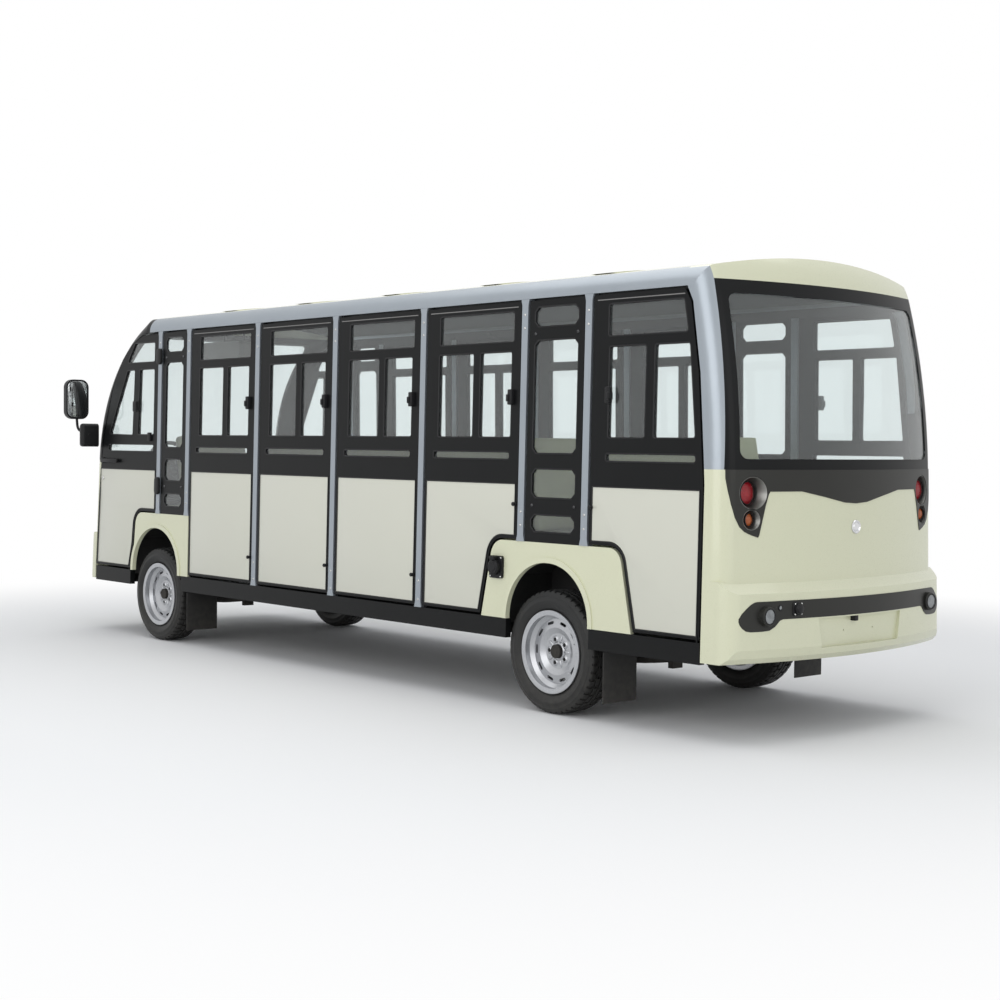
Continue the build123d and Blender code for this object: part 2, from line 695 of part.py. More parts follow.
# Chassis: two rails and cross members that carry the sills
SILLS = ((-2632, -1962), (-1398, 1620), (2254, 2714))
CROSS_MEMBERS = ((-2560, 30), (-2050, 20), (-1290, 30), (-700, 30), (40, 30), (820, 30), (1560, 30), (2310, 30), (2600, 30))
RAIL_Y = (270, 340)
with BuildPart() as sills:
    for rear, front in SILLS:
        with BuildSketch(SKIN):
            Polygon(*rectangle(front, rear, SILL_BOTTOM, SILL_TOP), align=None)
        extrude(amount=34)
members = []
for side in (1, -1):
    members.append(block((-2700, 2700), sorted((side * RAIL_Y[0], side * RAIL_Y[1])), (330, FLOOR_BOTTOM)))
    for x, half in CROSS_MEMBERS:
        members.append(block((x - half, x + half), sorted((side * RAIL_Y[1], side * 741)), (345, FLOOR_BOTTOM)) - joined(*both_sides(sills.part).solids()))
for x, half in CROSS_MEMBERS:
    members.append(block((x - half, x + half), (-RAIL_Y[0], RAIL_Y[0]), (345, FLOOR_BOTTOM)))
save(joined(both_sides(sills.part), *members), "chassis_frame")

# Floor with the four wheel houses let into it
HOUSE_HALF = 330.0
HOUSE_Y = 430.0
HOUSE_TOP = 722.0
HOUSE_WALL = 5.0
FLOOR_Y = 735.0
FLOOR_ENDS = (-2690.0, 2700.0)
house_ends = [(x - HOUSE_HALF, x + HOUSE_HALF) for x in (REAR_AXLE_X, FRONT_AXLE_X)]
side_strips = ((FLOOR_ENDS[0], house_ends[0][0]), (house_ends[0][1], house_ends[1][0]), (house_ends[1][1], FLOOR_ENDS[1]))
floor_parts = [block(FLOOR_ENDS, (-HOUSE_Y, HOUSE_Y), (FLOOR_BOTTOM, FLOOR_TOP))]
for strip_ends in side_strips:
    floor_parts.append(block(strip_ends, (HOUSE_Y, FLOOR_Y), (FLOOR_BOTTOM, FLOOR_TOP)))
    floor_parts.append(block(strip_ends, (-FLOOR_Y, -HOUSE_Y), (FLOOR_BOTTOM, FLOOR_TOP)))
house_parts = []
for axle_x in (FRONT_AXLE_X, REAR_AXLE_X):
    outer_line = []
    inner_line = []
    for end, height, run, drop in ((-1, FLOOR_BOTTOM, 0, 0), (-1, HOUSE_TOP, 0, 90), (-1, HOUSE_TOP, 90, 0), (1, HOUSE_TOP, 90, 0), (1, HOUSE_TOP, 0, 90), (1, FLOOR_BOTTOM, 0, 0)):
        outer_line.append((axle_x + end * (HOUSE_HALF - run), height - drop))
        wall = HOUSE_WALL if height > FLOOR_BOTTOM else 0
        inner_line.append((axle_x + end * (HOUSE_HALF - run - (HOUSE_WALL if run == 0 else 2)), height - drop - (wall if drop == 0 else 2)))
    with BuildPart() as inner_wall:
        with BuildSketch(Plane.XZ.offset(-HOUSE_Y)):
            Polygon(*outer_line, align=None)
        extrude(amount=-HOUSE_WALL)
    house_parts.append(inner_wall.part)
    for index in range(5):
        with BuildPart() as strip_wall:
            with BuildSketch(Plane.XZ.offset(-HOUSE_Y - HOUSE_WALL)):
                Polygon(outer_line[index], outer_line[index + 1], inner_line[index + 1], inner_line[index], align=None)
            extrude(amount=-(FLOOR_Y - HOUSE_Y - HOUSE_WALL))
        house_parts.append(strip_wall.part)
save(joined(*floor_parts, both_sides(joined(*house_parts))), "floor_pan")

# Seats: a driver's and a front passenger's seat, then five benches across the cabin
FRONT_SEAT_X = 1895.0
BENCH_STATIONS = (POSTS[2][0], POSTS[3][0], POSTS[4][0], POSTS[5][0], -2590.0)
SEAT_BOTTOM = 730.0
SEAT_TOP = 840.0
BACK_TOP = 1300.0


def slab(outline, y, radius):
    with BuildPart() as piece:
        with BuildSketch(Plane.XZ.offset(-y[0])) as section:
            Polygon(*outline, align=None)
            fillet(section.vertices().sort_by(Axis.Z)[2:], radius)
        extrude(amount=-(y[1] - y[0]))
    return piece.part


seats = []
for x, y in ((FRONT_SEAT_X, (120, 620)), (FRONT_SEAT_X, (-620, -120)), *[(x, (-700, 700)) for x in BENCH_STATIONS]):
    seats.append(slab(((x - 20, SEAT_BOTTOM), (x - 20, SEAT_TOP), (x + 510, SEAT_TOP), (x + 510, SEAT_BOTTOM)), y, 24))
    seats.append(slab(((x + 92, SEAT_TOP), (x + 10, SEAT_TOP), (x - 75, BACK_TOP), (x, BACK_TOP)), y, 24))
save(joined(*seats), "seats")
bases = []
for x in (FRONT_SEAT_X, *BENCH_STATIONS):
    for side in (1, -1):
        bases.append(block((x + 60, x + 450), sorted((side * 140, side * 420)), (FLOOR_TOP, SEAT_BOTTOM)))
save(joined(*bases), "seat_bases")

# Dashboard with the toe board below it and the steering column's bush
COLUMN = Plane(origin=(2390, 350, 1090), x_dir=(0, 1, 0), z_dir=(-0.82, 0, 0.572))
DASH = ((2430, 900), (2445, 1050), (2540, 1122), (2900, 1122), (2900, 870), (2610, 870))
dash = side_prism(DASH) & envelope(WALL + 0.3) & block((2300, 3000), (-690, 690), (300, 1200))
toe_board = block((2612, 2640), (-690, 690), (FLOOR_TOP, 870))
with BuildPart() as bush:
    with BuildSketch(COLUMN.offset(-70)):
        Circle(28)
    extrude(amount=-120)
with BuildPart() as bush_bore:
    with BuildSketch(COLUMN.offset(-60)):
        Circle(14 + RUNNING)
    extrude(amount=-126)
save(joined((dash + bush.part) - bush_bore.part, toe_board), "dashboard")
with BuildPart() as steering_wheel:
    with BuildSketch(COLUMN.offset(-66)):
        Circle(14)
    extrude(amount=-110)
    with BuildSketch(COLUMN.offset(-66)):
        Circle(24)
    extrude(amount=70)
    with BuildSketch(Plane(origin=COLUMN.origin, x_dir=COLUMN.x_dir, z_dir=COLUMN.y_dir)):
        with Locations((192, 0)):
            Circle(13)
    revolve(axis=Axis(COLUMN.origin, COLUMN.z_dir))
    for angle in (90, 210, 330):
        with BuildSketch(Plane(origin=COLUMN.origin, x_dir=COLUMN.x_dir, z_dir=COLUMN.z_dir).offset(-8)):
            with Locations(Rot(0, 0, angle) * Pos(100, 0)):
                Rectangle(170, 26)
        extrude(amount=12)
save(steering_wheel.part, "steering_wheel")

# Mirrors on both front corners: a head on a bent arm from a bracket on the pillar
with BuildPart() as mirror_head:
    with BuildSketch(Plane.YZ.offset(2785)) as outline:
        with Locations((876, 1529)):
            Rectangle(160, 262)
        fillet(outline.vertices(), 40)
    extrude(amount=58, taper=6)
with BuildPart() as arm:
    with BuildSketch(Plane.XY.offset(1330)):
        with Locations((2815, 852)):
            Circle(9)
    extrude(amount=90)
    with BuildSketch(Plane.YZ.offset(2740)):
        with Locations((852, 1339)):
            Circle(9)
    extrude(amount=84)
bracket = block((2690, 2740), (740, 888), (1215, 1370)) - outer
bracket = max(bracket.solids(), key=lambda s: s.volume)
save(both_sides(joined(mirror_head.part, arm.part - mirror_head.part, bracket)), "mirrors")

# Mud flaps behind the wheels, hung on the cross members
with BuildPart() as flaps:
    for x in (1524, -2076):
        with BuildSketch(Plane.YZ.offset(x)):
            Polygon((575, 100), (575, 332), (590, 332), (590, 398), (735, 398), (735, 332), (788, 332), (788, 100), align=None)
        extrude(amount=6)
save(both_sides(flaps.part), "mud_flaps")

# Charging socket on the left rear arch panel
with BuildPart() as socket:
    with BuildSketch(SKIN) as outline:
        with Locations((-1329, 671)):
            Rectangle(92, 108)
        fillet(outline.vertices(), 12)
    extrude(amount=-14)
    with BuildSketch(SKIN.offset(-14)):
        with Locations((-1329, 671)):
            Circle(38)
    extrude(amount=-18)
save(socket.part, "charge_socket")

# Traction battery: two plain boxes between the rails
batteries = (block((-664, 4), (-264, 264), (256, FLOOR_BOTTOM)), block((76, 784), (-264, 264), (256, FLOOR_BOTTOM)))
save(joined(*batteries), "battery_boxes")

# Leaf springs under the axles with their hangers on the rails
SPRING_REACH = 450.0
LEAF_REACH = SPRING_REACH - 15
AXLE_TUBE = 30.0
spring_parts = []
for axle_x in (FRONT_AXLE_X, REAR_AXLE_X):
    with BuildPart() as leaf:
        with BuildSketch(Plane.XZ.offset(-RAIL_Y[1])):
            with BuildLine():
                ThreePointArc((axle_x - LEAF_REACH, 262), (axle_x, 228), (axle_x + LEAF_REACH, 262))
                Line((axle_x + LEAF_REACH, 262), (axle_x + LEAF_REACH, 274))
                ThreePointArc((axle_x + LEAF_REACH, 274), (axle_x, TYRE_RADIUS - AXLE_TUBE), (axle_x - LEAF_REACH, 274))
                Line((axle_x - LEAF_REACH, 274), (axle_x - LEAF_REACH, 262))
            make_face()
        extrude(amount=-66)
    spring_parts.append(leaf.part)
    for end in (-1, 1):
        hanger_x = axle_x + end * SPRING_REACH
        spring_parts.append(block((hanger_x - 15, hanger_x + 15), (RAIL_Y[1], RAIL_Y[1] + 66), (236, FLOOR_BOTTOM)))
save(both_sides(joined(*spring_parts)), "leaf_springs")

# Rear axle with its drive motor
AXLE_END = WHEEL_Y + 44
with BuildPart() as rear_axle:
    with BuildSketch(Plane.XZ.offset(-625)):
        with Locations((REAR_AXLE_X, TYRE_RADIUS)):
            Circle(AXLE_TUBE)
    extrude(amount=1250)
    with BuildSketch(Plane.XZ.offset(-AXLE_END)):
        with Locations((REAR_AXLE_X, TYRE_RADIUS)):
            Circle(STUB_RADIUS)
    extrude(amount=AXLE_END - 600)
    with BuildSketch(Plane.XZ.offset(600)):
        with Locations((REAR_AXLE_X, TYRE_RADIUS)):
            Circle(STUB_RADIUS)
    extrude(amount=AXLE_END - 600)
    with BuildSketch(Plane.XZ.offset(-120)):
        with Locations((REAR_AXLE_X, TYRE_RADIUS)):
            Circle(98)
    extrude(amount=240)
    with BuildSketch(Plane.XZ.offset(-240)):
        with Locations((REAR_AXLE_X + 150, TYRE_RADIUS)):
            Circle(88)
    extrude(amount=300)
save(rear_axle.part, "rear_axle")

# Front axle beam with an eye for each kingpin, and the two steering knuckles
KINGPIN_Y = 570.0
PIN_RADIUS = 12.0
with BuildPart() as beam:
    with BuildSketch(Plane.XZ.offset(-KINGPIN_Y + 6)):
        with Locations((FRONT_AXLE_X, TYRE_RADIUS)):
            Circle(AXLE_TUBE - 2)
    extrude(amount=2 * KINGPIN_Y - 12)
    for side in (1, -1):
        with BuildSketch(Plane.XY.offset(TYRE_RADIUS - 30)):
            with Locations((FRONT_AXLE_X, side * KINGPIN_Y)):
                Circle(26)
        extrude(amount=60)
    for side in (1, -1):
        with BuildSketch(Plane.XY.offset(TYRE_RADIUS - 40)):
            with Locations((FRONT_AXLE_X, side * KINGPIN_Y)):
                Circle(PIN_RADIUS + RUNNING)
        extrude(amount=80, mode=Mode.SUBTRACT)
    with Locations((FRONT_AXLE_X, 373, TYRE_RADIUS), (FRONT_AXLE_X, -373, TYRE_RADIUS)):
        Box(90, 66, 2 * AXLE_TUBE - 0.6)
save(beam.part, "front_axle")
with BuildPart() as knuckle:
    for low in (TYRE_RADIUS - 49, TYRE_RADIUS + 31):
        with BuildSketch(Plane.XY.offset(low)):
            with Locations((FRONT_AXLE_X, KINGPIN_Y + 13)):
                Rectangle(50, 78)
        extrude(amount=18)
    with Locations((FRONT_AXLE_X, 611, TYRE_RADIUS)):
        Box(50, 22, 98)
    with BuildSketch(Plane.XY.offset(TYRE_RADIUS - 45)):
        with Locations((FRONT_AXLE_X, KINGPIN_Y)):
            Circle(PIN_RADIUS)
    extrude(amount=90)
    with BuildSketch(Plane.XZ.offset(-AXLE_END)):
        with Locations((FRONT_AXLE_X, TYRE_RADIUS)):
            Circle(STUB_RADIUS)
    extrude(amount=AXLE_END - 611)
save(knuckle.part, "knuckle_left")
save(mirror(knuckle.part, about=Plane.XZ), "knuckle_right")

# Wheels: pressed rim with slotted disc and brake drum, and its tyre
with BuildPart() as rim:
    with BuildSketch(Plane.YZ):
        with BuildLine():
            Polyline(
                (-79, 191),
                (-79, FLANGE_RADIUS),
                (-71, FLANGE_RADIUS),
                (-70, RIM_RADIUS),
                (-44, RIM_RADIUS),
                (-30, 160),
                (28, 160),
                (44, RIM_RADIUS),
                (70, RIM_RADIUS),
                (71, FLANGE_RADIUS),
                (79, FLANGE_RADIUS),
                (79, 191),
                (77, 172),
                (48, 172),
                (33, 154),
                (34, 142),
                (38, 112),
                (24, 84),
                (24, STUB_RADIUS + RUNNING),
                (-40, STUB_RADIUS + RUNNING),
                (-40, 112),
                (10, 112),
                (10, 90),
                (18, 90),
                (30, 114),
                (26, 144),
                (20, 154),
                (-32, 154),
                (-48, 172),
                (-77, 172),
                close=True,
            )
        make_face()
    revolve(axis=Axis.Y)
    with BuildSketch(Plane.XZ.offset(-70)):
        with PolarLocations(136, 10):
            SlotOverall(42, 14, rotation=90)
    extrude(amount=60, mode=Mode.SUBTRACT)
with BuildPart() as tyre:
    with BuildSketch(Plane.YZ):
        with BuildLine():
            Polyline((-62, RIM_RADIUS), (62, RIM_RADIUS), (66, 198))
            ThreePointArc((66, 198), (87.5, 238), (76, 275))
            ThreePointArc((76, 275), (71, 285), (60, 289.5))
            ThreePointArc((60, 289.5), (0, TYRE_RADIUS), (-60, 289.5))
            ThreePointArc((-60, 289.5), (-71, 285), (-76, 275))
            ThreePointArc((-76, 275), (-87.5, 238), (-66, 198))
            Line((-66, 198), (-62, RIM_RADIUS))
        make_face()
    revolve(axis=Axis.Y)
WHEELS = (
    ("front_left", FRONT_AXLE_X, 1),
    ("front_right", FRONT_AXLE_X, -1),
    ("rear_left", REAR_AXLE_X, 1),
    ("rear_right", REAR_AXLE_X, -1),
)
for name, x, side in WHEELS:
    for kind, piece in (("rim", rim.part), ("tyre", tyre.part)):
        hand = piece if side > 0 else mirror(piece, about=Plane.XZ)
        save(Pos(x, side * WHEEL_Y, TYRE_RADIUS) * hand, f"{kind}_{name}")
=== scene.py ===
from math import cos, pi, radians, sin, sqrt, tan

import bmesh
import bpy
from mathutils import Matrix, Vector


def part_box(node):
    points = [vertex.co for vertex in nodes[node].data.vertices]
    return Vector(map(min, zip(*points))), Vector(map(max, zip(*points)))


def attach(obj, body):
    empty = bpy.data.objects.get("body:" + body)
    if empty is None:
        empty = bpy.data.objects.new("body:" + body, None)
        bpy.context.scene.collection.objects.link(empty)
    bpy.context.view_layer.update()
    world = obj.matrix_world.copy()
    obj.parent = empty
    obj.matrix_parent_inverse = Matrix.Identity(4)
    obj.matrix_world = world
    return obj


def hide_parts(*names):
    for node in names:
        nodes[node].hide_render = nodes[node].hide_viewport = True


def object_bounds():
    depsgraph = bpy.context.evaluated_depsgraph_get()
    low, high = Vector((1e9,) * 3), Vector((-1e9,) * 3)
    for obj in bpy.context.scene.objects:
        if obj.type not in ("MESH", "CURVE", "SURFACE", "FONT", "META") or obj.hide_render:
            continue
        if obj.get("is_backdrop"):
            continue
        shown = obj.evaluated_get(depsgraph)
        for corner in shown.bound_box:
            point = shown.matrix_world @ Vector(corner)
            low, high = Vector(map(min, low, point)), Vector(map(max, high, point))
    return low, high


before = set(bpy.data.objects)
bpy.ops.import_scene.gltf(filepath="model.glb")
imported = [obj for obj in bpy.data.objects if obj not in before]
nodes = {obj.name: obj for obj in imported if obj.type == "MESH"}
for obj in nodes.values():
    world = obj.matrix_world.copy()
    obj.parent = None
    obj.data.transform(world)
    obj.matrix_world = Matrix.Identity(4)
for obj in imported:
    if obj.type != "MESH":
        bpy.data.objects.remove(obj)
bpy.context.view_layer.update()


# Roof, cowls and arch panels: glass-fibre mouldings sprayed in cream gloss and bonded to the steel frame.
# The paint drifts a little in shade, has a very fine grain and gathers dust low down.
def add(tree, kind, **values):
    """Adds a shader node with its input values; an underscore stands for the blank in a socket's name."""
    node = tree.nodes.new(f"ShaderNode{kind}")
    for label, value in values.items():
        node.inputs[label.replace("_", " ")].default_value = value
    return node


def calculate(tree, operation, second=None):
    """Adds a maths node, with its second value where that is a constant."""
    node = tree.nodes.new("ShaderNodeMath")
    node.operation = operation
    if second is not None:
        node.inputs[1].default_value = second
    return node


def colour_mix(tree, **ends):
    """Adds a node that mixes two colours, called A and B."""
    node = tree.nodes.new("ShaderNodeMix")
    node.data_type = "RGBA"
    for label, colour in ends.items():
        node.inputs[label].default_value = (*colour, 1)
    return node


def wire(tree, *joins):
    """Links sockets, each join given as node, output, node and input."""
    for source, output, target, label in joins:
        tree.links.new(source.outputs[output], target.inputs[label])


surface_group = bpy.data.node_groups.new("surface_variation", "ShaderNodeTree")
for label, usual in (("Cloud Scale", 1.5), ("Grain Scale", 400.0), ("Dust Height", 0.5)):
    socket = surface_group.interface.new_socket(name=label, in_out="INPUT", socket_type="NodeSocketFloat")
    socket.default_value = usual
for label in ("Cloud", "Grain", "Dust"):
    surface_group.interface.new_socket(name=label, in_out="OUTPUT", socket_type="NodeSocketFloat")
group_in = surface_group.nodes.new("NodeGroupInput")
group_out = surface_group.nodes.new("NodeGroupOutput")
place = add(surface_group, "TexCoord")
cloud = add(surface_group, "TexNoise", Detail=5.0)
grain = add(surface_group, "TexNoise", Detail=2.0)
specks = add(surface_group, "TexNoise", Scale=35.0, Detail=6.0)
height = add(surface_group, "SeparateXYZ")
fade = add(surface_group, "MapRange", From_Min=0.1, To_Min=1.0, To_Max=0.0)
dust = calculate(surface_group, "MULTIPLY")
wire(
    surface_group,
    (place, "Object", cloud, "Vector"),
    (place, "Object", grain, "Vector"),
    (place, "Object", specks, "Vector"),
    (place, "Object", height, "Vector"),
    (group_in, "Cloud Scale", cloud, "Scale"),
    (group_in, "Grain Scale", grain, "Scale"),
    (height, "Z", fade, "Value"),
    (group_in, "Dust Height", fade, "From Max"),
    (fade, "Result", dust, 0),
    (specks, "Fac", dust, 1),
    (cloud, "Fac", group_out, "Cloud"),
    (grain, "Fac", group_out, "Grain"),
    (dust, "Value", group_out, "Dust"),
)


def variation(tree, cloud_scale, grain_scale, dust_height=0.5):
    """Adds the shared pattern of clouds, grain and low dust to a material."""
    node = tree.nodes.new("ShaderNodeGroup")
    node.node_tree = surface_group
    node.inputs["Cloud Scale"].default_value = cloud_scale
    node.inputs["Grain Scale"].default_value = grain_scale
    node.inputs["Dust Height"].default_value = dust_height
    return node


def finish(
    name, deep, light, roughness, cloud_scale=1.5, grain_scale=400.0, grain_depth=0.0, dust_amount=0.25,
    dust_height=0.5, dust_colour=(0.32, 0.29, 0.24), facets=0.0, **sockets
):
    """A surface whose colour drifts between two shades, with grain or prisms in relief and dust low down."""
    material = bpy.data.materials.new(name)
    material.use_nodes = True
    tree = material.node_tree
    shader = tree.nodes["Principled BSDF"]
    vary = variation(tree, cloud_scale, grain_scale, dust_height)
    shade = colour_mix(tree, A=deep, B=light)
    dusty = colour_mix(tree, B=dust_colour)
    weight = calculate(tree, "MULTIPLY", dust_amount)
    rough = add(tree, "MapRange", To_Min=roughness * 0.85, To_Max=min(1.0, roughness * 1.2))
    wire(
        tree,
        (vary, "Cloud", shade, "Factor"),
        (vary, "Dust", weight, 0),
        (weight, "Value", dusty, "Factor"),
        (shade, "Result", dusty, "A"),
        (dusty, "Result", shader, "Base Color"),
        (vary, "Grain", rough, "Value"),
        (rough, "Result", shader, "Roughness"),
    )
    if grain_depth or facets:
        bump = add(tree, "Bump", Distance=grain_depth or 0.002, Strength=1.0 if facets else 0.5)
        relief = (vary, "Grain")
        if facets:
            prisms = add(tree, "TexVoronoi", Scale=facets, Randomness=0.15)
            wire(tree, (add(tree, "TexCoord"), "Object", prisms, "Vector"))
            relief = (prisms, "Distance")
        wire(tree, (*relief, bump, "Height"), (bump, "Normal", shader, "Normal"))
    for label, value in sockets.items():
        shader.inputs[label.replace("_", " ")].default_value = value
    return material


def paint(material, *names):
    """Gives CAD nodes their finish."""
    for name in names:
        nodes[name].data.materials.clear()
        nodes[name].data.materials.append(material)


cream = finish(
    "cream_gloss", (0.655, 0.665, 0.475), (0.695, 0.70, 0.515), 0.28, cloud_scale=0.8, grain_scale=260,
    grain_depth=0.00003, dust_amount=0.14, dust_colour=(0.40, 0.36, 0.29),
    Coat_Weight=0.4, Coat_Roughness=0.06,
)
paint(cream, "roof", "rear_cowl", "front_cowl", "arch_panels")
crisp = nodes["roof"].modifiers.new("crisp_ribs", "EDGE_SPLIT")
crisp.split_angle = radians(8)

# Posts and cant rails: aluminium sections in satin silver lacquer, bolted to the frame with button heads.
# Each post has two bolts near its head and two near its foot.
silver = finish(
    "silver_lacquer", (0.30, 0.335, 0.37), (0.36, 0.395, 0.43), 0.34, cloud_scale=3, grain_scale=900,
    grain_depth=0.0001, dust_amount=0.1, Metallic=0.6,
)
zinc = finish(
    "zinc_plating", (0.5, 0.5, 0.5), (0.62, 0.62, 0.6), 0.25, cloud_scale=40, grain_scale=2000, Metallic=0.9
)
paint(silver, "side_posts", "cant_rails")

# The side walls lean in by a degree. Their flat pattern is (x, height, depth) in millimetres, and these
# matrices carry it to the bus in metres.
LEAN = radians(1)
WALL_FOOT_Y = 0.78185
left_skin = Matrix((
    (0.001, 0, 0, 0),
    (0, -0.001 * sin(LEAN), 0.001 * cos(LEAN), WALL_FOOT_Y),
    (0, 0.001 * cos(LEAN), 0.001 * sin(LEAN), 0),
    (0, 0, 0, 1),
))
SKIN = {"left": left_skin, "right": Matrix.Scale(-1, 4, (0, 1, 0)) @ left_skin}
# Each post as (x, foot's height).
POSTS = ((1915, 803), (1570, 803), (805, 428), (40, 428), (-725, 428), (-1490, 803), (-1920, 803))
TALL_FOOT = 500
POST_FACE = 5


def on_side(side, x, high, proud=0.0):
    return SKIN[side] @ Matrix.Translation((x, high, proud))


def turned(profile, segments=20):
    """A part turned on a lathe from a half profile of (radius, height), in millimetres along Z."""
    shape = bmesh.new()
    line = [shape.verts.new((radius, 0, along)) for radius, along in profile]
    edges = [shape.edges.new(pair) for pair in zip(line, line[1:])]
    bmesh.ops.spin(
        shape, geom=line + edges, axis=(0, 0, 1), cent=(0, 0, 0), angle=2 * pi, steps=segments, use_merge=True
    )
    bmesh.ops.remove_doubles(shape, verts=shape.verts, dist=1e-3)
    return shape


def joined(*parts):
    """One mesh from finished shapes, each given with its place."""
    whole = bmesh.new()
    for shape, matrix in parts:
        bmesh.ops.transform(shape, matrix=matrix, verts=shape.verts)
        bmesh.ops.recalc_face_normals(shape, faces=shape.faces)
        part = bpy.data.meshes.new("part")
        shape.to_mesh(part)
        shape.free()
        whole.from_mesh(part)
        bpy.data.meshes.remove(part)
    return whole


def fit(name, shape, material, body="body", sharp=32):
    """Makes a finished mesh a piece of the bus that moves with its body."""
    mesh = bpy.data.meshes.new(name)
    shape.to_mesh(mesh)
    shape.free()
    mesh.shade_smooth()
    mesh.set_sharp_from_angle(angle=radians(sharp))
    mesh.materials.append(material)
    piece = bpy.data.objects.new(name, mesh)
    bpy.context.scene.collection.objects.link(piece)
    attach(piece, body)
    return piece


def button_head(radius=6.5, tall=3.6):
    """A domed bolt head with a socket in it."""
    bore, floor = radius * 0.35, tall - 1.8
    dome = ((bore, tall), (radius * 0.55, tall - 0.15), (radius * 0.85, tall * 0.6), (radius, 0))
    return turned(((bore, floor), *dome, (0, 0), (0, floor), (bore, floor)), 12)


heads = []
for side in SKIN:
    for x, foot in POSTS:
        low_pair = (foot + 76, foot + 140) if foot > TALL_FOOT else (foot + 38, foot + 134)
        heads += [(button_head(), on_side(side, x, high, POST_FACE)) for high in (*low_pair, 1811, 1874)]
fit("post_bolts", joined(*heads), zinc)

# Doors: folded steel frames under black satin paint, each with a cream sheet below the belt line
# that sits in a shallow recess, held by a rubber bead all round.
black = finish(
    "black_satin", (0.0045, 0.005, 0.0055), (0.008, 0.0085, 0.009), 0.32, cloud_scale=4, grain_scale=700,
    grain_depth=0.0001, dust_amount=0.04, dust_height=0.45, Specular_IOR_Level=0.14,
)
panel_paint = finish(
    "door_panel_paint", (0.625, 0.625, 0.535), (0.655, 0.655, 0.57), 0.3, cloud_scale=1.2, grain_scale=260,
    grain_depth=0.00003, dust_amount=0.12, dust_colour=(0.42, 0.38, 0.32),
    Coat_Weight=0.3, Coat_Roughness=0.1,
)
seal_rubber = finish(
    "seal_rubber", (0.008, 0.008, 0.009), (0.014, 0.014, 0.015), 0.34, cloud_scale=8, grain_scale=900,
    grain_depth=0.0001, dust_amount=0.05, Specular_IOR_Level=0.3,
)
paint(black, *(name for name in nodes if name.startswith("door_") and not name.endswith("glass")))
paint(black, "window_frames", "chassis_frame", "seat_bases", "hinge_pins")


def blank(outline, level=0.0, rounds=()):
    """A flat blank cut to an outline of (x, height), some of its corners rounded as (index, radius)."""
    shape = bmesh.new()
    corners = [shape.verts.new((x, high, level)) for x, high in outline]
    shape.faces.new(corners)
    for index, radius in rounds:
        here = Vector(outline[index])
        before = Vector(outline[index - 1]) - here
        after = Vector(outline[(index + 1) % len(outline)]) - here
        bmesh.ops.bevel(
            shape, geom=[corners[index]], offset=radius / tan(before.angle(after) / 2), offset_type="OFFSET",
            segments=8, profile=0.5, affect="VERTICES", material=-1,
        )
    shape.normal_update()
    return shape


def ease_edges(shape, edges, offset, segments):
    bmesh.ops.bevel(
        shape, geom=edges, offset=offset, offset_type="OFFSET", segments=segments, profile=0.5,
        affect="EDGES", material=-1,
    )


def raised(shape, thick, ease=0.0):
    """Gives a blank its thickness and eases the edges of its outer face."""
    grown = bmesh.ops.extrude_face_region(shape, geom=shape.faces[:])["geom"]
    tops = [v for v in grown if isinstance(v, bmesh.types.BMVert)]
    bmesh.ops.translate(shape, verts=tops, vec=(0, 0, thick))
    if ease:
        faces = {f for f in grown if isinstance(f, bmesh.types.BMFace)}
        rim = {e for f in faces for e in f.edges if sum(g in faces for g in e.link_faces) == 1}
        ease_edges(shape, list(rim), ease, 2)
    return shape


def ring(shape, width):
    """Keeps only a band of a given width inside the blank's edge."""
    whole = shape.faces[:]
    shape.normal_update()
    bmesh.ops.inset_region(shape, faces=whole, thickness=width, use_even_offset=True, use_boundary=True)
    bmesh.ops.delete(shape, geom=whole, context="FACES")
    return shape


def rectangle(front, rear, low, high):
    return ((front, low), (front, high), (rear, high), (rear, low))


def grown_by(outline, grow):
    """An outline moved outwards by an amount, or inwards where it is negative."""
    out = []
    for here, before, after in zip(outline, (outline[-1], *outline), (*outline[1:], outline[0])):
        a = (Vector(here) - Vector(before)).normalized()
        b = (Vector(after) - Vector(here)).normalized()
        normal_a, normal_b = Vector((a.y, -a.x)), Vector((b.y, -b.x))
        bisect = (normal_a + normal_b).normalized()
        out.append(tuple(Vector(here) + bisect * grow / bisect.dot(normal_a)))
    return tuple(out)


# Each door's sheet as its outline, anticlockwise, and the index of the corner that is bent round the arch.
SILL, ARCH_TOP, BELT = 455, 830, 1073
FRONT_DOOR = (
    (2670, BELT), (1963, BELT), (1963, ARCH_TOP), (2220, ARCH_TOP), (2243, 605), (2282, SILL), (2696, SILL),
    (2672, 896),
)
ARCH_DOOR = (
    (-773, SILL), (-773, BELT), (-1442, BELT), (-1442, ARCH_TOP), (-1265, ARCH_TOP), (-1190, SILL),
)
REAR_DOOR = (
    (-2254, SILL), (-2169, ARCH_TOP), (-1968, ARCH_TOP), (-1968, BELT), (-2611, BELT), (-2611, SILL),
)
LOW_PANELS = {
    1: (FRONT_DOOR, 3),
    2: (rectangle(1522, 853, SILL, BELT), None),
    3: (rectangle(757, 88, SILL, BELT), None),
    4: (rectangle(-8, -677, SILL, BELT), None),
    5: (ARCH_DOOR, 4),
    6: (REAR_DOOR, 1),
}
BEND, PLAY, BEAD_WIDTH, BEAD_LAP = 107, 1.2, 5, 4
SHEET_BACK, SHEET_THICK, BEAD_THICK = -2.9, 3.4, 2.6
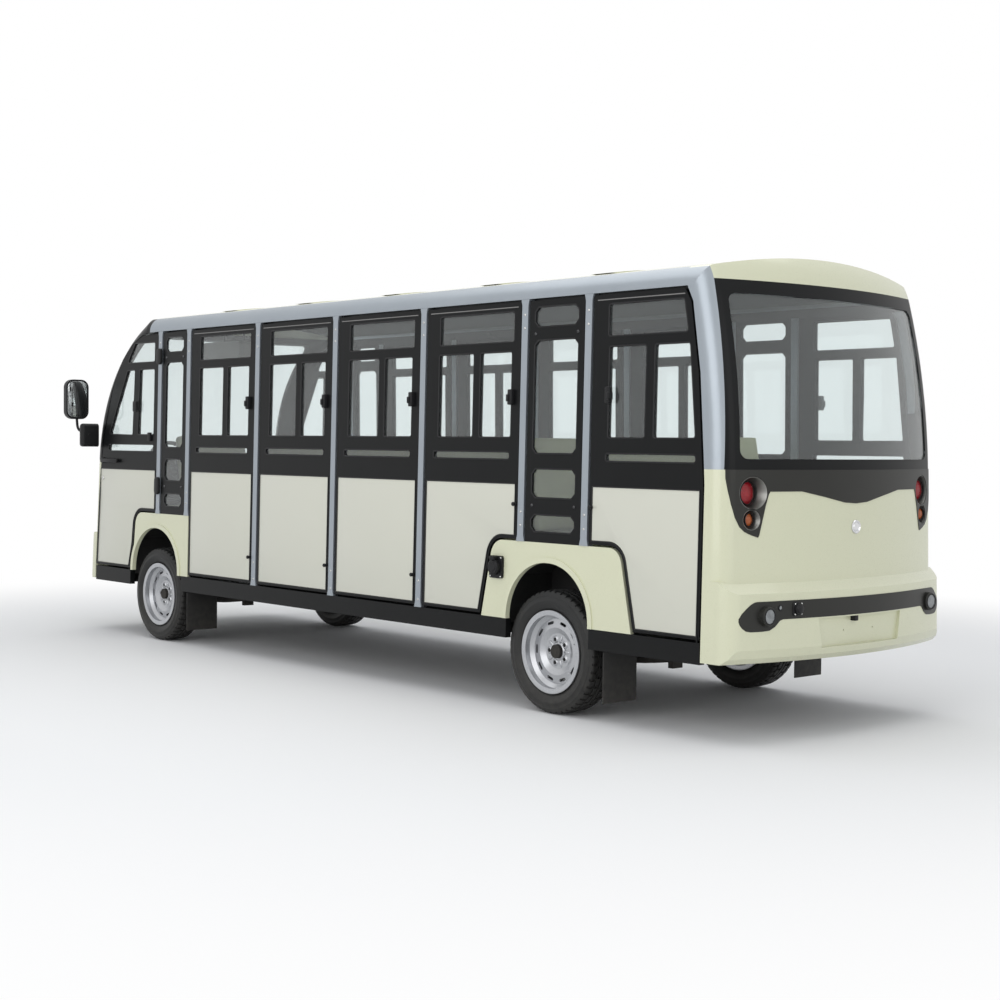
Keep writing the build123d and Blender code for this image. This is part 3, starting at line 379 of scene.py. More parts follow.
for number, (outline, bend) in LOW_PANELS.items():
    for side, skin in SKIN.items():
        body = f"door_{number}_{side}"
        sheet = blank(grown_by(outline, -PLAY), SHEET_BACK, () if bend is None else ((bend, BEND),))
        panel = raised(sheet, SHEET_THICK, 0.9)
        fit(f"{body}_panel", joined((panel, skin)), panel_paint, body)
        band = blank(grown_by(outline, BEAD_LAP), 0.05, () if bend is None else ((bend, BEND + BEAD_WIDTH),))
        bead = raised(ring(band, BEAD_WIDTH), BEAD_THICK, 1.0)
        fit(f"{body}_bead", joined((bead, skin)), seal_rubber, body)

# Panes: toughened glass with a pale grey-green tint and a thin film of dust, bedded in black rubber that
# stands a little proud of each frame.
glass = bpy.data.materials.new("tinted_glass")
glass.use_nodes = True
pane = glass.node_tree.nodes["Principled BSDF"]
pane.inputs["IOR"].default_value = 1.45
pane.inputs["Transmission Weight"].default_value = 0.97
film = variation(glass.node_tree, 2.5, 30.0)
film_shade = colour_mix(glass.node_tree, A=(0.84, 0.895, 0.895), B=(0.89, 0.935, 0.935))
film_rough = add(glass.node_tree, "MapRange", To_Min=0.0, To_Max=0.035)
wire(
    glass.node_tree,
    (film, "Cloud", film_shade, "Factor"),
    (film_shade, "Result", pane, "Base Color"),
    (film, "Grain", film_rough, "Value"),
    (film_rough, "Result", pane, "Roughness"),
)
paint(glass, *(name for name in nodes if name.endswith("glass")))
PANE_INNERMOST, PANE_OUTERMOST = -8.6, -6.4
GASKET_WIDTH = 6.5


def outer_panes(node, side):
    """The outer faces of a node's flat panes on one side of the bus, in the flat pattern."""
    shape = bmesh.new()
    shape.from_mesh(nodes[node].data)
    bmesh.ops.remove_doubles(shape, verts=shape.verts, dist=1e-6)
    bmesh.ops.transform(shape, matrix=SKIN[side].inverted(), verts=shape.verts)
    shape.normal_update()
    others = [
        f for f in shape.faces
        if abs(f.normal.z) <= 0.9999 or not PANE_INNERMOST < f.calc_center_median().z < PANE_OUTERMOST
    ]
    bmesh.ops.delete(shape, geom=others, context="FACES")
    bmesh.ops.dissolve_limit(shape, angle_limit=0.02, verts=shape.verts, edges=shape.edges)
    for face in shape.faces:
        face.normal_update()
        if face.normal.z < 0:
            face.normal_flip()
    return shape


def gasket(node, side, proud):
    """A rubber gasket round every flat pane of a node, with its place."""
    return raised(ring(outer_panes(node, side), GASKET_WIDTH), proud, 1.8), SKIN[side]


for number in LOW_PANELS:
    for side in SKIN:
        body = f"door_{number}_{side}"
        fit(f"{body}_gaskets", joined(gasket(f"{body}_glass", side, 9.0)), seal_rubber, body)
quarter_rings = joined(*(gasket("fixed_glass", side, 8.2) for side in SKIN))
fit("quarter_window_gaskets", quarter_rings, seal_rubber)


# Door heads: a rubber lip on the inner side of each cant rail closes the gap above the doors, and a thin
# raised bead lies along the top of each door frame; its light grey is a painted highlight.
def plate(wide, tall, thick, corner=0.0, ease=0.0, level=0.0):
    """A rectangular plate or block about its centre, with rounded corners and eased outer edges."""
    rounds = [(index, corner) for index in range(4)] if corner else ()
    return raised(blank(rectangle(wide / 2, -wide / 2, -tall / 2, tall / 2), level, rounds), thick, ease)


# The bead's light grey is a painted highlight: it stands for the bright line that light draws along the door
# tops.
painted_highlight_trim = finish(
    "painted_highlight_trim", (0.16, 0.155, 0.15), (0.26, 0.255, 0.25), 0.4, cloud_scale=6, Metallic=0.3
)
FRAME_EDGE, REAR_SLOPE, FRAME_TOP, LIP_HEIGHT = 22, -2500, 1915.25, 1944
for side in SKIN:
    for number in range(2, 7):
        body = f"door_{number}_{side}"
        door_low, door_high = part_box(body)
        front = door_high[0] * 1000 - FRAME_EDGE
        rear = max(door_low[0] * 1000 + FRAME_EDGE, REAR_SLOPE)
        bead = plate(front - rear, 4.5, 1.8, 0, 0.7, -0.3)
        bead_at = on_side(side, (front + rear) / 2, FRAME_TOP)
        fit(f"{body}_top_bead", joined((bead, bead_at)), painted_highlight_trim, body)
lips = joined(*((plate(4640, 44, 4, 0, 1, -34.5), on_side(side, -270, LIP_HEIGHT)) for side in SKIN))
fit("door_head_seals", lips, seal_rubber)

# Quarter windows: four black domed screws hold the cross straps of each one, and small plates cut off the
# corners of the panes beside each strap.
dark_chrome = finish(
    "dark_chrome", (0.05, 0.05, 0.052), (0.10, 0.10, 0.105), 0.16, cloud_scale=30, grain_scale=60,
    Metallic=1.0,
)
STRAPS = (1781, 976)
STRAP_REACH, WIDEST_QUARTER, LEG, TUCK = 48, 330, 45, 5
strap_screws = joined(*(
    (button_head(9, 6), on_side(side, x, high))
    for side in SKIN for x in (1843, 1642, -1562, -1848) for high in STRAPS
))
fit("strap_screws", strap_screws, dark_chrome)
gussets = []
for side in SKIN:
    panes = outer_panes("fixed_glass", side)
    for face in panes.faces:
        xs, highs = [v.co.x for v in face.verts], [v.co.y for v in face.verts]
        if max(xs) - min(xs) > WIDEST_QUARTER:
            continue
        for edge, up in ((min(highs), 1), (max(highs), -1)):
            if min(abs(edge - strap) for strap in STRAPS) > STRAP_REACH:
                continue
            for end, inward in ((min(xs), 1), (max(xs), -1)):
                x, high = end - TUCK * inward, edge - TUCK * up
                triangle = ((x, high), (x + LEG * inward, high), (x, high + LEG * up))
                gussets.append((raised(blank(triangle, -8), 7.4, 1.2), SKIN[side]))
    panes.free()
fit("quarter_window_gussets", joined(*gussets), black)

# Door furniture: moulded black latch blocks screwed to the frames, small knobs low down, rounded hinge
# covers on the front post and a lever handle and lock on the driver's door.
moulded = finish(
    "black_moulding", (0.009, 0.009, 0.010), (0.014, 0.014, 0.015), 0.42, grain_scale=1500,
    grain_depth=0.0002, dust_amount=0.05, Specular_IOR_Level=0.22,
)
# Latch block's x and the knob's x and height, for each passenger door.
LATCHES = {
    2: (888, 853, 590), 3: (123, 88, 590), 4: (-642, -677, 590), 5: (-1407, -1446, 978),
    6: (-2062, -1964, 980),
}
LATCH_HEIGHT = 1487
KNOB = ((0, 0), (9, 0), (9, 4), (6, 6), (6, 9), (10, 12), (10, 17), (7, 20), (0, 20.5))
LEVER_BOSS = ((0, 0), (17, 0), (19, 3), (19, 9), (15, 13), (0, 14))
LOCK = ((0, 4.5), (6, 4.5), (7, 3.6), (11, 3.4), (12.5, 2), (12.5, 0), (0, 0))
for side in SKIN:
    driver = joined(
        (plate(44, 66, 20, 6, 3), on_side(side, 2209, 1480)),
        (plate(34, 54, 14, 6, 3), on_side(side, 2030, 1286)),
        (turned(LEVER_BOSS, 24), on_side(side, 2640, 1129)),
        (plate(216, 26, 9, 12, 3.5, 14), on_side(side, 2532, 1128)),
        (plate(40, 30, 8, 12, 3, 8), on_side(side, 2640, 1128)),
    )
    fit(f"door_1_{side}_furniture", driver, moulded, f"door_1_{side}")
for number, (latch_x, knob_x, knob_height) in LATCHES.items():
    nose_x = latch_x + (-10 if number == 6 else 10)
    for side in SKIN:
        furniture = joined(
            (plate(30, 74, 20, 6, 3), on_side(side, latch_x, LATCH_HEIGHT)),
            (plate(16, 34, 27, 4, 3), on_side(side, nose_x, LATCH_HEIGHT - 4)),
            (turned(KNOB, 18), on_side(side, knob_x, knob_height, 0.2)),
        )
        fit(f"door_{number}_{side}_furniture", furniture, moulded, f"door_{number}_{side}")
for side in SKIN:
    lock = joined((turned(LOCK, 24), on_side(side, 2638, 1013, 0.5)))
    fit(f"door_1_{side}_lock", lock, zinc, f"door_1_{side}")
hinge_covers = joined(*(
    (plate(wide, tall, 16, 22, 6, 5.1), on_side(side, 1915, high))
    for side in SKIN for wide, tall, high in ((56, 100, 1790), (52, 109, 978))
))
fit("front_hinge_covers", hinge_covers, moulded)

# Lamps: coloured lenses moulded with fine prisms, at the bottom of brushed cups in a graphite surround.
# A thin black ring holds each lens.
red_lens = finish(
    "red_lens", (0.16, 0.002, 0.006), (0.42, 0.01, 0.02), 0.16, cloud_scale=28, facets=140,
    Coat_Weight=0.3, Coat_Roughness=0.03, Specular_IOR_Level=0.25,
)
amber_lens = finish(
    "amber_lens", (0.28, 0.055, 0.01), (0.48, 0.12, 0.03), 0.18, cloud_scale=30, facets=160,
    Coat_Weight=0.3, Coat_Roughness=0.03, Specular_IOR_Level=0.25,
)
clear_lens = finish(
    "clear_lens", (0.08, 0.085, 0.09), (0.34, 0.36, 0.37), 0.14, cloud_scale=45, facets=110,
    Coat_Weight=0.4, Metallic=0.5,
)
graphite = finish(
    "graphite_trim", (0.024, 0.024, 0.0215), (0.034, 0.034, 0.031), 0.36, grain_scale=1200,
    grain_depth=0.0001, dust_amount=0.1, Metallic=0.25, Specular_IOR_Level=0.25,
)
brushed = finish(
    "brushed_cup", (0.10, 0.10, 0.095), (0.38, 0.38, 0.36), 0.34, cloud_scale=14, grain_scale=1500,
    grain_depth=0.0001, Metallic=0.9,
)
paint(red_lens, "tail_lamps")
paint(amber_lens, "turn_lamps")
paint(clear_lens, "clear_lamps")
paint(graphite, "lamp_trims")

TO_REAR = Matrix(((0, 0, -0.001, 0), (0, 0.001, 0, 0), (0.001, 0, 0, 0), (0, 0, 0, 1)))
REAR_CENTRE = -361.0
REAR_REACH, REAR_FOOT, REAR_LEAN = 2868, 100, 18 / 1028


def bow_x(y, z):
    """Where the rear panel's bowed face lies at a width and a height, in millimetres."""
    reach = REAR_REACH - (z - REAR_FOOT) * REAR_LEAN + REAR_CENTRE
    return REAR_CENTRE - sqrt(reach * reach - y * y)


def facing_rear(x, y, z):
    """Stands a part on a spot, given in millimetres, with its top towards the rear."""
    return Matrix.Translation((x / 1000, y / 1000, z / 1000)) @ TO_REAR


# Each lamp as y and z of its middle, the lens's radius, the cup's mouth and its depth.
CUPS = ((616, 1066, 50, 69, 42), (622, 953, 30, 43, 26))
CUP_MOUTH_X, FOG_X, EDGE_TILT = -2772, -2858, 43.75
cups, bezels = [], []
for y, z, radius, mouth, depth in CUPS:
    floor = CUP_MOUTH_X + depth
    reach = depth + 60
    flare = (mouth - radius - 2) / depth * reach
    wall = (
        (radius + 0.2, 0.6), (radius + 1.4, 0.6), (radius + 1.4 + flare, reach),
        (radius + 0.6 + flare, reach), (radius + 0.2, 1.4), (radius + 0.2, 0.6),
    )
    bezel = (
        (radius - 3, 21.5), (radius - 1.5, 23), (radius + 0.2, 22), (radius + 1.2, 14), (radius + 0.2, 14),
        (radius - 3, 21.5),
    )
    for lamp_y in (y, -y):
        cone = turned(wall, 48)
        bmesh.ops.transform(cone, matrix=facing_rear(floor, lamp_y, z), verts=cone.verts)
        skin_x = bow_x(y, z)
        out = Vector((skin_x - REAR_CENTRE, lamp_y, EDGE_TILT)).normalized()
        edge = Vector((skin_x / 1000, lamp_y / 1000, z / 1000)) - out * 0.0006
        whole = cone.verts[:] + cone.edges[:] + cone.faces[:]
        cut = bmesh.ops.bisect_plane(cone, geom=whole, plane_co=edge, plane_no=out, clear_outer=True)
        bmesh.ops.bridge_loops(cone, edges=[e for e in cut["geom_cut"] if isinstance(e, bmesh.types.BMEdge)])
        cups.append((cone, Matrix.Identity(4)))
        bezels.append((turned(bezel, 48), facing_rear(floor, lamp_y, z)))
FOG_BEZEL = ((30, 0.5), (31.5, 3), (34, 3), (34.8, 0.5), (30, 0.5))
bezels += [(turned(FOG_BEZEL, 40), facing_rear(FOG_X, y, 548)) for y in (587, -587)]
fit("lamp_cups", joined(*cups), brushed)
fit("lamp_bezels", joined(*bezels), moulded)

# Rear panel: a bare round chrome disc where a badge would go, a small reflector, a round trailer socket
# on a screwed square base, a little plate lamp and a steel tab behind the strip.
chrome = finish(
    "chrome", (0.62, 0.63, 0.64), (0.7, 0.7, 0.71), 0.08, cloud_scale=10, grain_scale=60, Metallic=1.0
)
DISC = ((0, 7), (16, 6.6), (20, 4.4), (22, 5.4), (25, 7.4), (29, 6), (31, 3), (31, -12), (0, -12))
fit("rear_disc", joined((turned(DISC, 48), facing_rear(bow_x(0, 912), 0, 912))), chrome)
REFLECTOR_CUP = ((9, 4), (11, 5), (14, 4), (15, 0), (15, -10), (0, -10), (0, 3.2), (9, 3.2), (9, 4))
REFLECTOR = ((0, 5.2), (5, 4.8), (9, 3.4), (9, 3.1), (0, 3.1))
SOCKET_CAP = ((0, 25), (16, 24.5), (20, 22), (21, 18), (25, 16), (25, 5), (0, 5))
RIVET = ((0, 0.7), (3, 0.6), (4.5, 0), (0, 0))
STRIP_PROUD = 44
reflector_at = facing_rear(bow_x(512, 581) - STRIP_PROUD, 512, 581)
socket_x, tab_x = bow_x(419, 573) - STRIP_PROUD + 2, bow_x(100, 568) - STRIP_PROUD
socket_at = facing_rear(socket_x, 419, 573)
fittings = joined(
    (turned(REFLECTOR_CUP, 32), reflector_at),
    (plate(60, 60, 16, 8, 2, -10), socket_at @ Matrix.Rotation(pi / 2, 4, "Z")),
    (turned(SOCKET_CAP, 32), socket_at),
    (plate(32, 24, 32, 5, 4, -6), facing_rear(bow_x(0, 570) - 17, 44, 517)),
)
fit("rear_fittings", fittings, moulded)
fit("rear_reflector", joined((turned(REFLECTOR, 24), reflector_at)), clear_lens)
small_metal = joined(
    *((button_head(4, 3), facing_rear(socket_x - 9, 419 + y, 573 + z)) for y in (-22, 22) for z in (-22, 22)),
    (plate(34, 18, 1.6, 3, 0.5), facing_rear(tab_x, 100, 568)),
    (turned(RIVET, 16), facing_rear(tab_x - 1.6, 100, 574)),
)
fit("rear_small_metal", small_metal, zinc)


# Mirrors: a moulded black shell round a slightly domed glass, on a bent steel arm that is clamped in a
# rounded bracket on the front corner post.
def rod(points, radius):
    """A round bar bent along a smooth line of points in metres."""
    line = bpy.data.curves.new("rod", "CURVE")
    line.dimensions = "3D"
    line.bevel_depth = radius
    line.bevel_resolution = 4
    line.use_fill_caps = True
    spline = line.splines.new("NURBS")
    spline.points.add(len(points) - 1)
    for point, spot in zip(spline.points, points):
        point.co = (*spot, 1)
    spline.order_u = 3
    spline.use_endpoint_u = True
    spare = bpy.data.objects.new("rod", line)
    shape = bmesh.new()
    shape.from_mesh(bpy.data.meshes.new_from_object(spare))
    bpy.data.objects.remove(spare)
    bmesh.ops.remove_doubles(shape, verts=shape.verts, dist=1e-6)
    return shape


def set_at(spot, *turns):
    """Takes a shape in millimetres to a spot in metres, after turns given as (degrees, axis)."""
    matrix = Matrix.Translation(spot)
    for degrees, axis in turns:
        matrix = matrix @ Matrix.Rotation(radians(degrees), 4, axis)
    return matrix @ Matrix.Scale(0.001, 4)


mirror_glass = finish(
    "mirror_glass", (0.75, 0.78, 0.78), (0.8, 0.82, 0.82), 0.03, cloud_scale=6, Metallic=1.0
)
BACK_X, FRONT_X, GLASS_X = 2.785, 2.843, 2.7905
ARM = (
    (2.812, 0.868, 1.402), (2.812, 0.866, 1.372), (2.812, 0.862, 1.342), (2.795, 0.856, 1.322),
    (2.76, 0.852, 1.320), (2.735, 0.850, 1.320),
)
BOOT = ((9, 26), (11, 24), (15, 4), (16, 0), (9, 0), (9, 26))
BRACKET_ROOT, BRACKET_REACH = 0.768, 120
BRACKET_ROUNDS = ((0, 18), (1, 24), (2, 24), (3, 18))


def on_mirror(sign, x, way):
    """Stands a flat pattern across the bus about a mirror's middle, with its thickness along way."""
    turn = Matrix(((0, 0, 0.001 * way, x), (sign * 0.001, 0, 0, 0), (0, 0.001, 0, 0), (0, 0, 0, 1)))
    return turn @ Matrix.Translation((876, 1530, 0))


for side, sign in (("left", 1), ("right", -1)):
    shell = plate(160, 262, 58, 52)
    bmesh.ops.transform(shell, matrix=on_mirror(sign, BACK_X, 1), verts=shell.verts)
    fronts = [f for f in shell.faces if f.calc_center_median().x > FRONT_X - 0.001]
    bmesh.ops.inset_region(shell, faces=fronts, thickness=0.02, depth=0)
    edges = [e for e in shell.edges if all(abs(v.co.x - FRONT_X) < 1e-4 for v in e.verts)]
    rim = [e for e in edges if any(abs(f.normal.x) < 0.5 for f in e.link_faces)]
    ease_edges(shell, rim, 0.022, 5)
    backs = [f for f in shell.faces if len(f.verts) > 20 and f.calc_center_median().x < BACK_X + 0.001]
    for inset, sunk in ((0.009, 0), (0.002, -0.006)):
        bmesh.ops.inset_region(shell, faces=backs, thickness=inset, depth=sunk, use_even_offset=True)
    bmesh.ops.recalc_face_normals(shell, faces=shell.faces)
    head = fit(f"mirror_{side}_head", shell, moulded)
    mirror_pane = joined((plate(137, 239, 3, 41, 1), on_mirror(sign, GLASS_X, -1)))
    fit(f"mirror_{side}_glass", mirror_pane, mirror_glass)
    arm = joined(
        (rod([(x, sign * y, z) for x, y, z in ARM], 0.0085), Matrix.Identity(4)),
        (turned(BOOT, 24), set_at((2.742, sign * 0.850, 1.320), (90, "Y"))),
    )
    fit(f"mirror_{side}_arm", arm, moulded)
    bracket = raised(blank(rectangle(2746, 2694, 1217, 1370), 0, BRACKET_ROUNDS), BRACKET_REACH)
    outwards = Matrix((
        (0.001, 0, 0, 0), (0, 0, sign * 0.001, sign * BRACKET_ROOT), (0, 0.001, 0, 0), (0, 0, 0, 1)
    ))
    bmesh.ops.transform(bracket, matrix=outwards, verts=bracket.verts)
    tip = BRACKET_ROOT + BRACKET_REACH / 1000
    lip = [e for e in bracket.edges if all(abs(abs(v.co.y) - tip) < 1e-4 for v in e.verts)]
    ease_edges(bracket, lip, 0.018, 4)
    bmesh.ops.recalc_face_normals(bracket, faces=bracket.faces)
    fit(f"mirror_{side}_bracket", bracket, moulded)
    bolt = joined((button_head(8, 5), set_at((2.694, sign * 0.84, 1.296), (-90, "Y"))))
    fit(f"mirror_{side}_bolt", bolt, moulded)
    if side == "left":
        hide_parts("mirrors")

# Charging socket and mud flaps: a screwed-on moulding with a round hinged cap, and plain rubber sheets.
rubber = finish(
    "flap_rubber", (0.012, 0.012, 0.013), (0.02, 0.02, 0.02), 0.55, grain_scale=900, grain_depth=0.0002,
    dust_amount=0.15, dust_height=0.4, Specular_IOR_Level=0.25,
)
paint(moulded, "charge_socket")
paint(rubber, "mud_flaps")
socket_screws = joined(*(
    (button_head(5, 3), on_side("left", x, high, 14)) for x in (-1366, -1292) for high in (716, 626)
))
fit("charge_socket_screws", socket_screws, zinc)
CHARGE_CAP = ((0, 6), (20, 6), (22, 4), (30, 4), (33, 2), (34, 0), (0, 0))
cap = joined(
    (turned(CHARGE_CAP, 36), on_side("left", -1329, 671, 32)),
    (plate(34, 16, 30, 4, 3, 14), on_side("left", -1329, 716)),
)
fit("charge_socket_cap", cap, moulded)

# Wheels: pressed silver rims on hubs with five bolts, a capped hub bore and a black valve, and radial
# tyres with a ribbed tread, cut shoulders and plain ringed sidewalls.
tyre_rubber = finish(
    "tyre_rubber", (0.012, 0.0125, 0.013), (0.019, 0.0195, 0.02), 0.5, cloud_scale=9, grain_scale=600,
    grain_depth=0.0002, dust_amount=0.1, dust_height=0.62, Specular_IOR_Level=0.3,
)
wheel_silver = finish(
    "wheel_silver", (0.42, 0.43, 0.45), (0.52, 0.53, 0.55), 0.28, cloud_scale=8, grain_scale=500,
    grain_depth=0.0001, dust_amount=0.1, Metallic=0.7,
)
hub_yellow = finish(
    "hub_plating", (0.5, 0.42, 0.16), (0.62, 0.52, 0.22), 0.3, cloud_scale=40, Metallic=0.8
)
# Half of the tyre's section as (radius, distance from the middle plane), from bead to crown.
SIDEWALL = (
    (178.4, 61.8), (184, 65.5), (192, 67.5), (196, 67.2), (199, 69.5), (205, 74.5), (206.5, 76.6),
    (208, 76.3), (214, 79.6), (226, 84.2), (238, 86.9), (240, 87.3), (241.5, 86.7), (252, 85.2),
    (262, 82.2), (263.5, 82.8), (265, 81.4), (274, 77.6), (280, 75), (284.5, 72.3),
)
TREAD = (
    (287.2, 68.5), (289.4, 61), (290.1, 44), (284.5, 42.5), (284.5, 37), (290.6, 35.5), (291.2, 15),
    (284.8, 13.5), (284.8, 8.5), (291.4, 7),
)
half = SIDEWALL + TREAD
TYRE = (*half, *((radius, -off) for radius, off in half[::-1]), half[0])
STEPS = 144
FRONT_AXLE_X, REAR_AXLE_X, AXLE_HEIGHT, WHEEL_Y = 1.94, -1.68, 0.2915, 0.6695
BOLTS, BOLT_CIRCLE, HUB_FACE = 5, 57, 24
BOLT_SEAT = ((9.5, 2), (10, 5.5), (12, 6), (15, 4.2), (19, 0), (9.5, 0), (9.5, 2))
BOLT_HEAD = ((0, 2.6), (4, 2.2), (6.5, 1.4), (9.4, 1.2), (9.4, 0.2), (0, 0.2))
BORE_RING = ((32, 24), (33, 27), (36, 27.6), (40, 26), (44, 24), (32, 24))
VALVE = ((0, 26), (3.2, 25), (3.6, 18), (4.4, 17), (4.4, 4), (6.5, 0), (0, -2))
HUB_CAP = ((0, 26.5), (12, 26), (20, 25), (24, 23), (26, 21), (31.8, 20), (31.8, 16.2), (0, 16.2))


def is_cut(face):
    """Whether a face of the tread lies where a groove crosses a shoulder or a rib."""
    middle = face.calc_center_median()
    round_it = Vector((middle.x, middle.y))
    step = int((round_it.angle_signed(Vector((1, 0))) % (2 * pi)) / (2 * pi / STEPS))
    on_shoulder = 44.5 < abs(middle.z) < 75 and round_it.length > 281
    on_rib = 15.5 < abs(middle.z) < 35 and round_it.length > 289
    return on_shoulder and step % 3 == 0 or on_rib and step % 4 == (0 if middle.z > 0 else 2)


def round_hub(wheel, share, along):
    """A spot on the bolt circle's face, at a share of the turn."""
    return wheel @ Matrix.Rotation(2 * pi * share / BOLTS, 4, "Z") @ Matrix.Translation((along, 0, HUB_FACE))


for end, x in (("front", FRONT_AXLE_X), ("rear", REAR_AXLE_X)):
    for side, sign in (("left", 1), ("right", -1)):
        body = f"wheel_{end}_{side}"
        wheel = set_at((x, sign * WHEEL_Y, AXLE_HEIGHT), (-90 * sign, "X"))
        tread = turned(TYRE, STEPS)
        tread.normal_update()
        bmesh.ops.recalc_face_normals(tread, faces=tread.faces)
        cuts = [face for face in tread.faces if is_cut(face)]
        bmesh.ops.inset_region(tread, faces=cuts, thickness=1.4, depth=-5.0, use_even_offset=False)
        tyre = fit(f"tyre_{end}_{side}_tread", joined((tread, wheel)), tyre_rubber, body, sharp=40)
        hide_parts(f"tyre_{end}_{side}")
        paint(wheel_silver, f"rim_{end}_{side}")
        pressing = [(turned(BORE_RING, 40), wheel)]
        bolts = []
        for k in range(BOLTS):
            pressing.append((turned(BOLT_SEAT, 24), round_hub(wheel, k, BOLT_CIRCLE)))
            ridge = bmesh.new()
            bmesh.ops.create_uvsphere(ridge, u_segments=20, v_segments=12, radius=1)
            pressing.append((ridge, round_hub(wheel, k + 0.5, 58) @ Matrix.Diagonal((20, 8, 5.5, 1))))
            bolts.append((turned(BOLT_HEAD, 18), round_hub(wheel, k, BOLT_CIRCLE)))
        fit(f"{body}_pressing", joined(*pressing), wheel_silver, body)
        valve_turn = Matrix.Rotation(radians(-72 * sign - 90), 4, "Z")
        bolts.append((turned(VALVE, 16), wheel @ valve_turn @ Matrix.Translation((163, 0, 45))))
        fit(f"{body}_bolts", joined(*bolts), moulded, body)
        hub_cap = joined((turned(HUB_CAP, 32), wheel))
        fit(f"{body}_hub_cap", hub_cap, hub_yellow if end == "front" else moulded, body)

# Chassis parts: cast and forged steel under thin black paint, with road dust. The axles sit on leaf
# springs, the battery boxes hang under the frame and the front wheels turn on knuckles.
cast = finish(
    "black_steel", (0.008, 0.008, 0.008), (0.016, 0.015, 0.014), 0.6, cloud_scale=12, grain_scale=300,
    grain_depth=0.0004, dust_amount=0.25, Specular_IOR_Level=0.25,
)
paint(cast, "battery_boxes", "leaf_springs", "rear_axle", "front_axle", "knuckle_left", "knuckle_right")

# Floor and dashboard: ribbed black matting, and a grained black moulding with a hood of two round gauges
# in bright rings, which is screwed down behind the steering wheel.
matting = finish(
    "floor_matting", (0.02, 0.02, 0.02), (0.035, 0.035, 0.035), 0.6, grain_scale=300, grain_depth=0.0006
)
paint(matting, "floor_pan")
paint(moulded, "dashboard", "steering_wheel")
HOOD = set_at((2.62, 0.35, 1.1), (-70, "Y"), (90, "Z"))
GAUGE_FACE = ((0, 111), (34, 111), (34, 109), (0, 109))
GAUGE_RING = ((34, 109), (34, 114), (37, 115), (42, 113), (43, 109), (34, 109))
gauges_at = [HOOD @ Matrix.Translation((off, 0, 0)) for off in (-70, 70)]
hood = joined((plate(320, 124, 110, 40, 6), HOOD), *((turned(GAUGE_FACE, 32), spot) for spot in gauges_at))
fit("instrument_hood", hood, moulded)
gauge_rings = joined(*((turned(GAUGE_RING, 40), spot) for spot in gauges_at))
fit("gauge_rings", gauge_rings, chrome)

# Wiper: a pressed steel arm with a rubber blade, parked along the foot of the windscreen. It turns on a
# capped spindle that comes through the cowl below the glass.
SCREEN_RADIUS = 3.115


def screen_spot(y, z, off):
    """A point a little outside the bowed windscreen."""
    return (2.8355 - 0.185 * (z - 1.17) - SCREEN_RADIUS + sqrt(SCREEN_RADIUS ** 2 - y * y) + off, y, z)


SPINDLE = ((0, 34), (10, 33), (13, 26), (13, 0), (0, 0))
arm_line = [screen_spot(0.3 - 0.055 * k, 1.17 + 0.009 * k, 0.024 - 0.001 * k) for k in range(9)]
blade_line = [screen_spot(0.12 - 0.065 * k, 1.232, 0.012) for k in range(9)]
wiper = joined(
    (turned(SPINDLE, 24), set_at(screen_spot(0.3, 1.165, -0.004), (83, "Y"))),
    (rod(arm_line, 0.005), Matrix.Identity(4)),
    (rod(blade_line, 0.0055), Matrix.Identity(4)),
)
fit("wiper", wiper, moulded)

# Over the driver's place: a grey moulded housing with rounded edges. It hangs from the roof on two
# straight steel stays.
housing_grey = finish(
    "housing_grey", (0.30, 0.285, 0.275), (0.40, 0.385, 0.37), 0.45, grain_scale=900, grain_depth=0.0001,
    dust_amount=0.0,
)
housing = joined((plate(436, 112, 200, 30, 14), set_at((1.85, 0.35, 1.843), (90, "X"))))
fit("overhead_housing", housing, housing_grey)
stays = joined(*(
    (rod([(x, 0.25, z) for z in (1.89, 1.97, 2.05)], 0.006), Matrix.Identity(4)) for x in (1.74, 1.96)
))
fit("overhead_stays", stays, moulded)

# Lining: grey cloth stretched over thin bows just under the roof, tucked behind the cant rails. It is
# lower at its sides, and narrows and drops towards its two ends.
lining = finish(
    "headliner_cloth", (0.055, 0.07, 0.067), (0.075, 0.09, 0.086), 0.9, cloud_scale=4, grain_scale=1800,
    grain_depth=0.0004,
)
LINING_MIDDLE, HALF_LENGTH, HALF_WIDTH = (-0.285, 0, 2.058), 2.335, 0.735
TAPER_FRONT, TAPER_REAR = 2.0, -2.4
headliner = bmesh.new()
bmesh.ops.create_grid(headliner, x_segments=30, y_segments=20, size=1)
spread = Matrix.Translation(LINING_MIDDLE) @ Matrix.Diagonal((HALF_LENGTH, HALF_WIDTH, 1, 1))
bmesh.ops.transform(headliner, matrix=spread, verts=headliner.verts)
for vert in headliner.verts:
    past = max(0, vert.co.x - TAPER_FRONT, TAPER_REAR - vert.co.x)
    vert.co.y *= 1 - 0.75 * past
    vert.co.z -= 0.068 * (vert.co.y / 0.69) ** 2 + 0.5 * past ** 2
bmesh.ops.solidify(headliner, geom=headliner.faces[:], thickness=0.003)
fit("headliner", headliner, lining)

# Seats: padded cushions and backs in cream vinyl with sewn channels, clipped to the steel bases. The back
# of the rear bench is lower, with one headrest.
vinyl = finish(
    "cream_vinyl", (0.40, 0.41, 0.25), (0.48, 0.49, 0.31), 0.4, grain_scale=900, grain_depth=0.0004,
    dust_amount=0.0,
)
BACK_LEAN = radians(10.5)
SEAM = 0.022


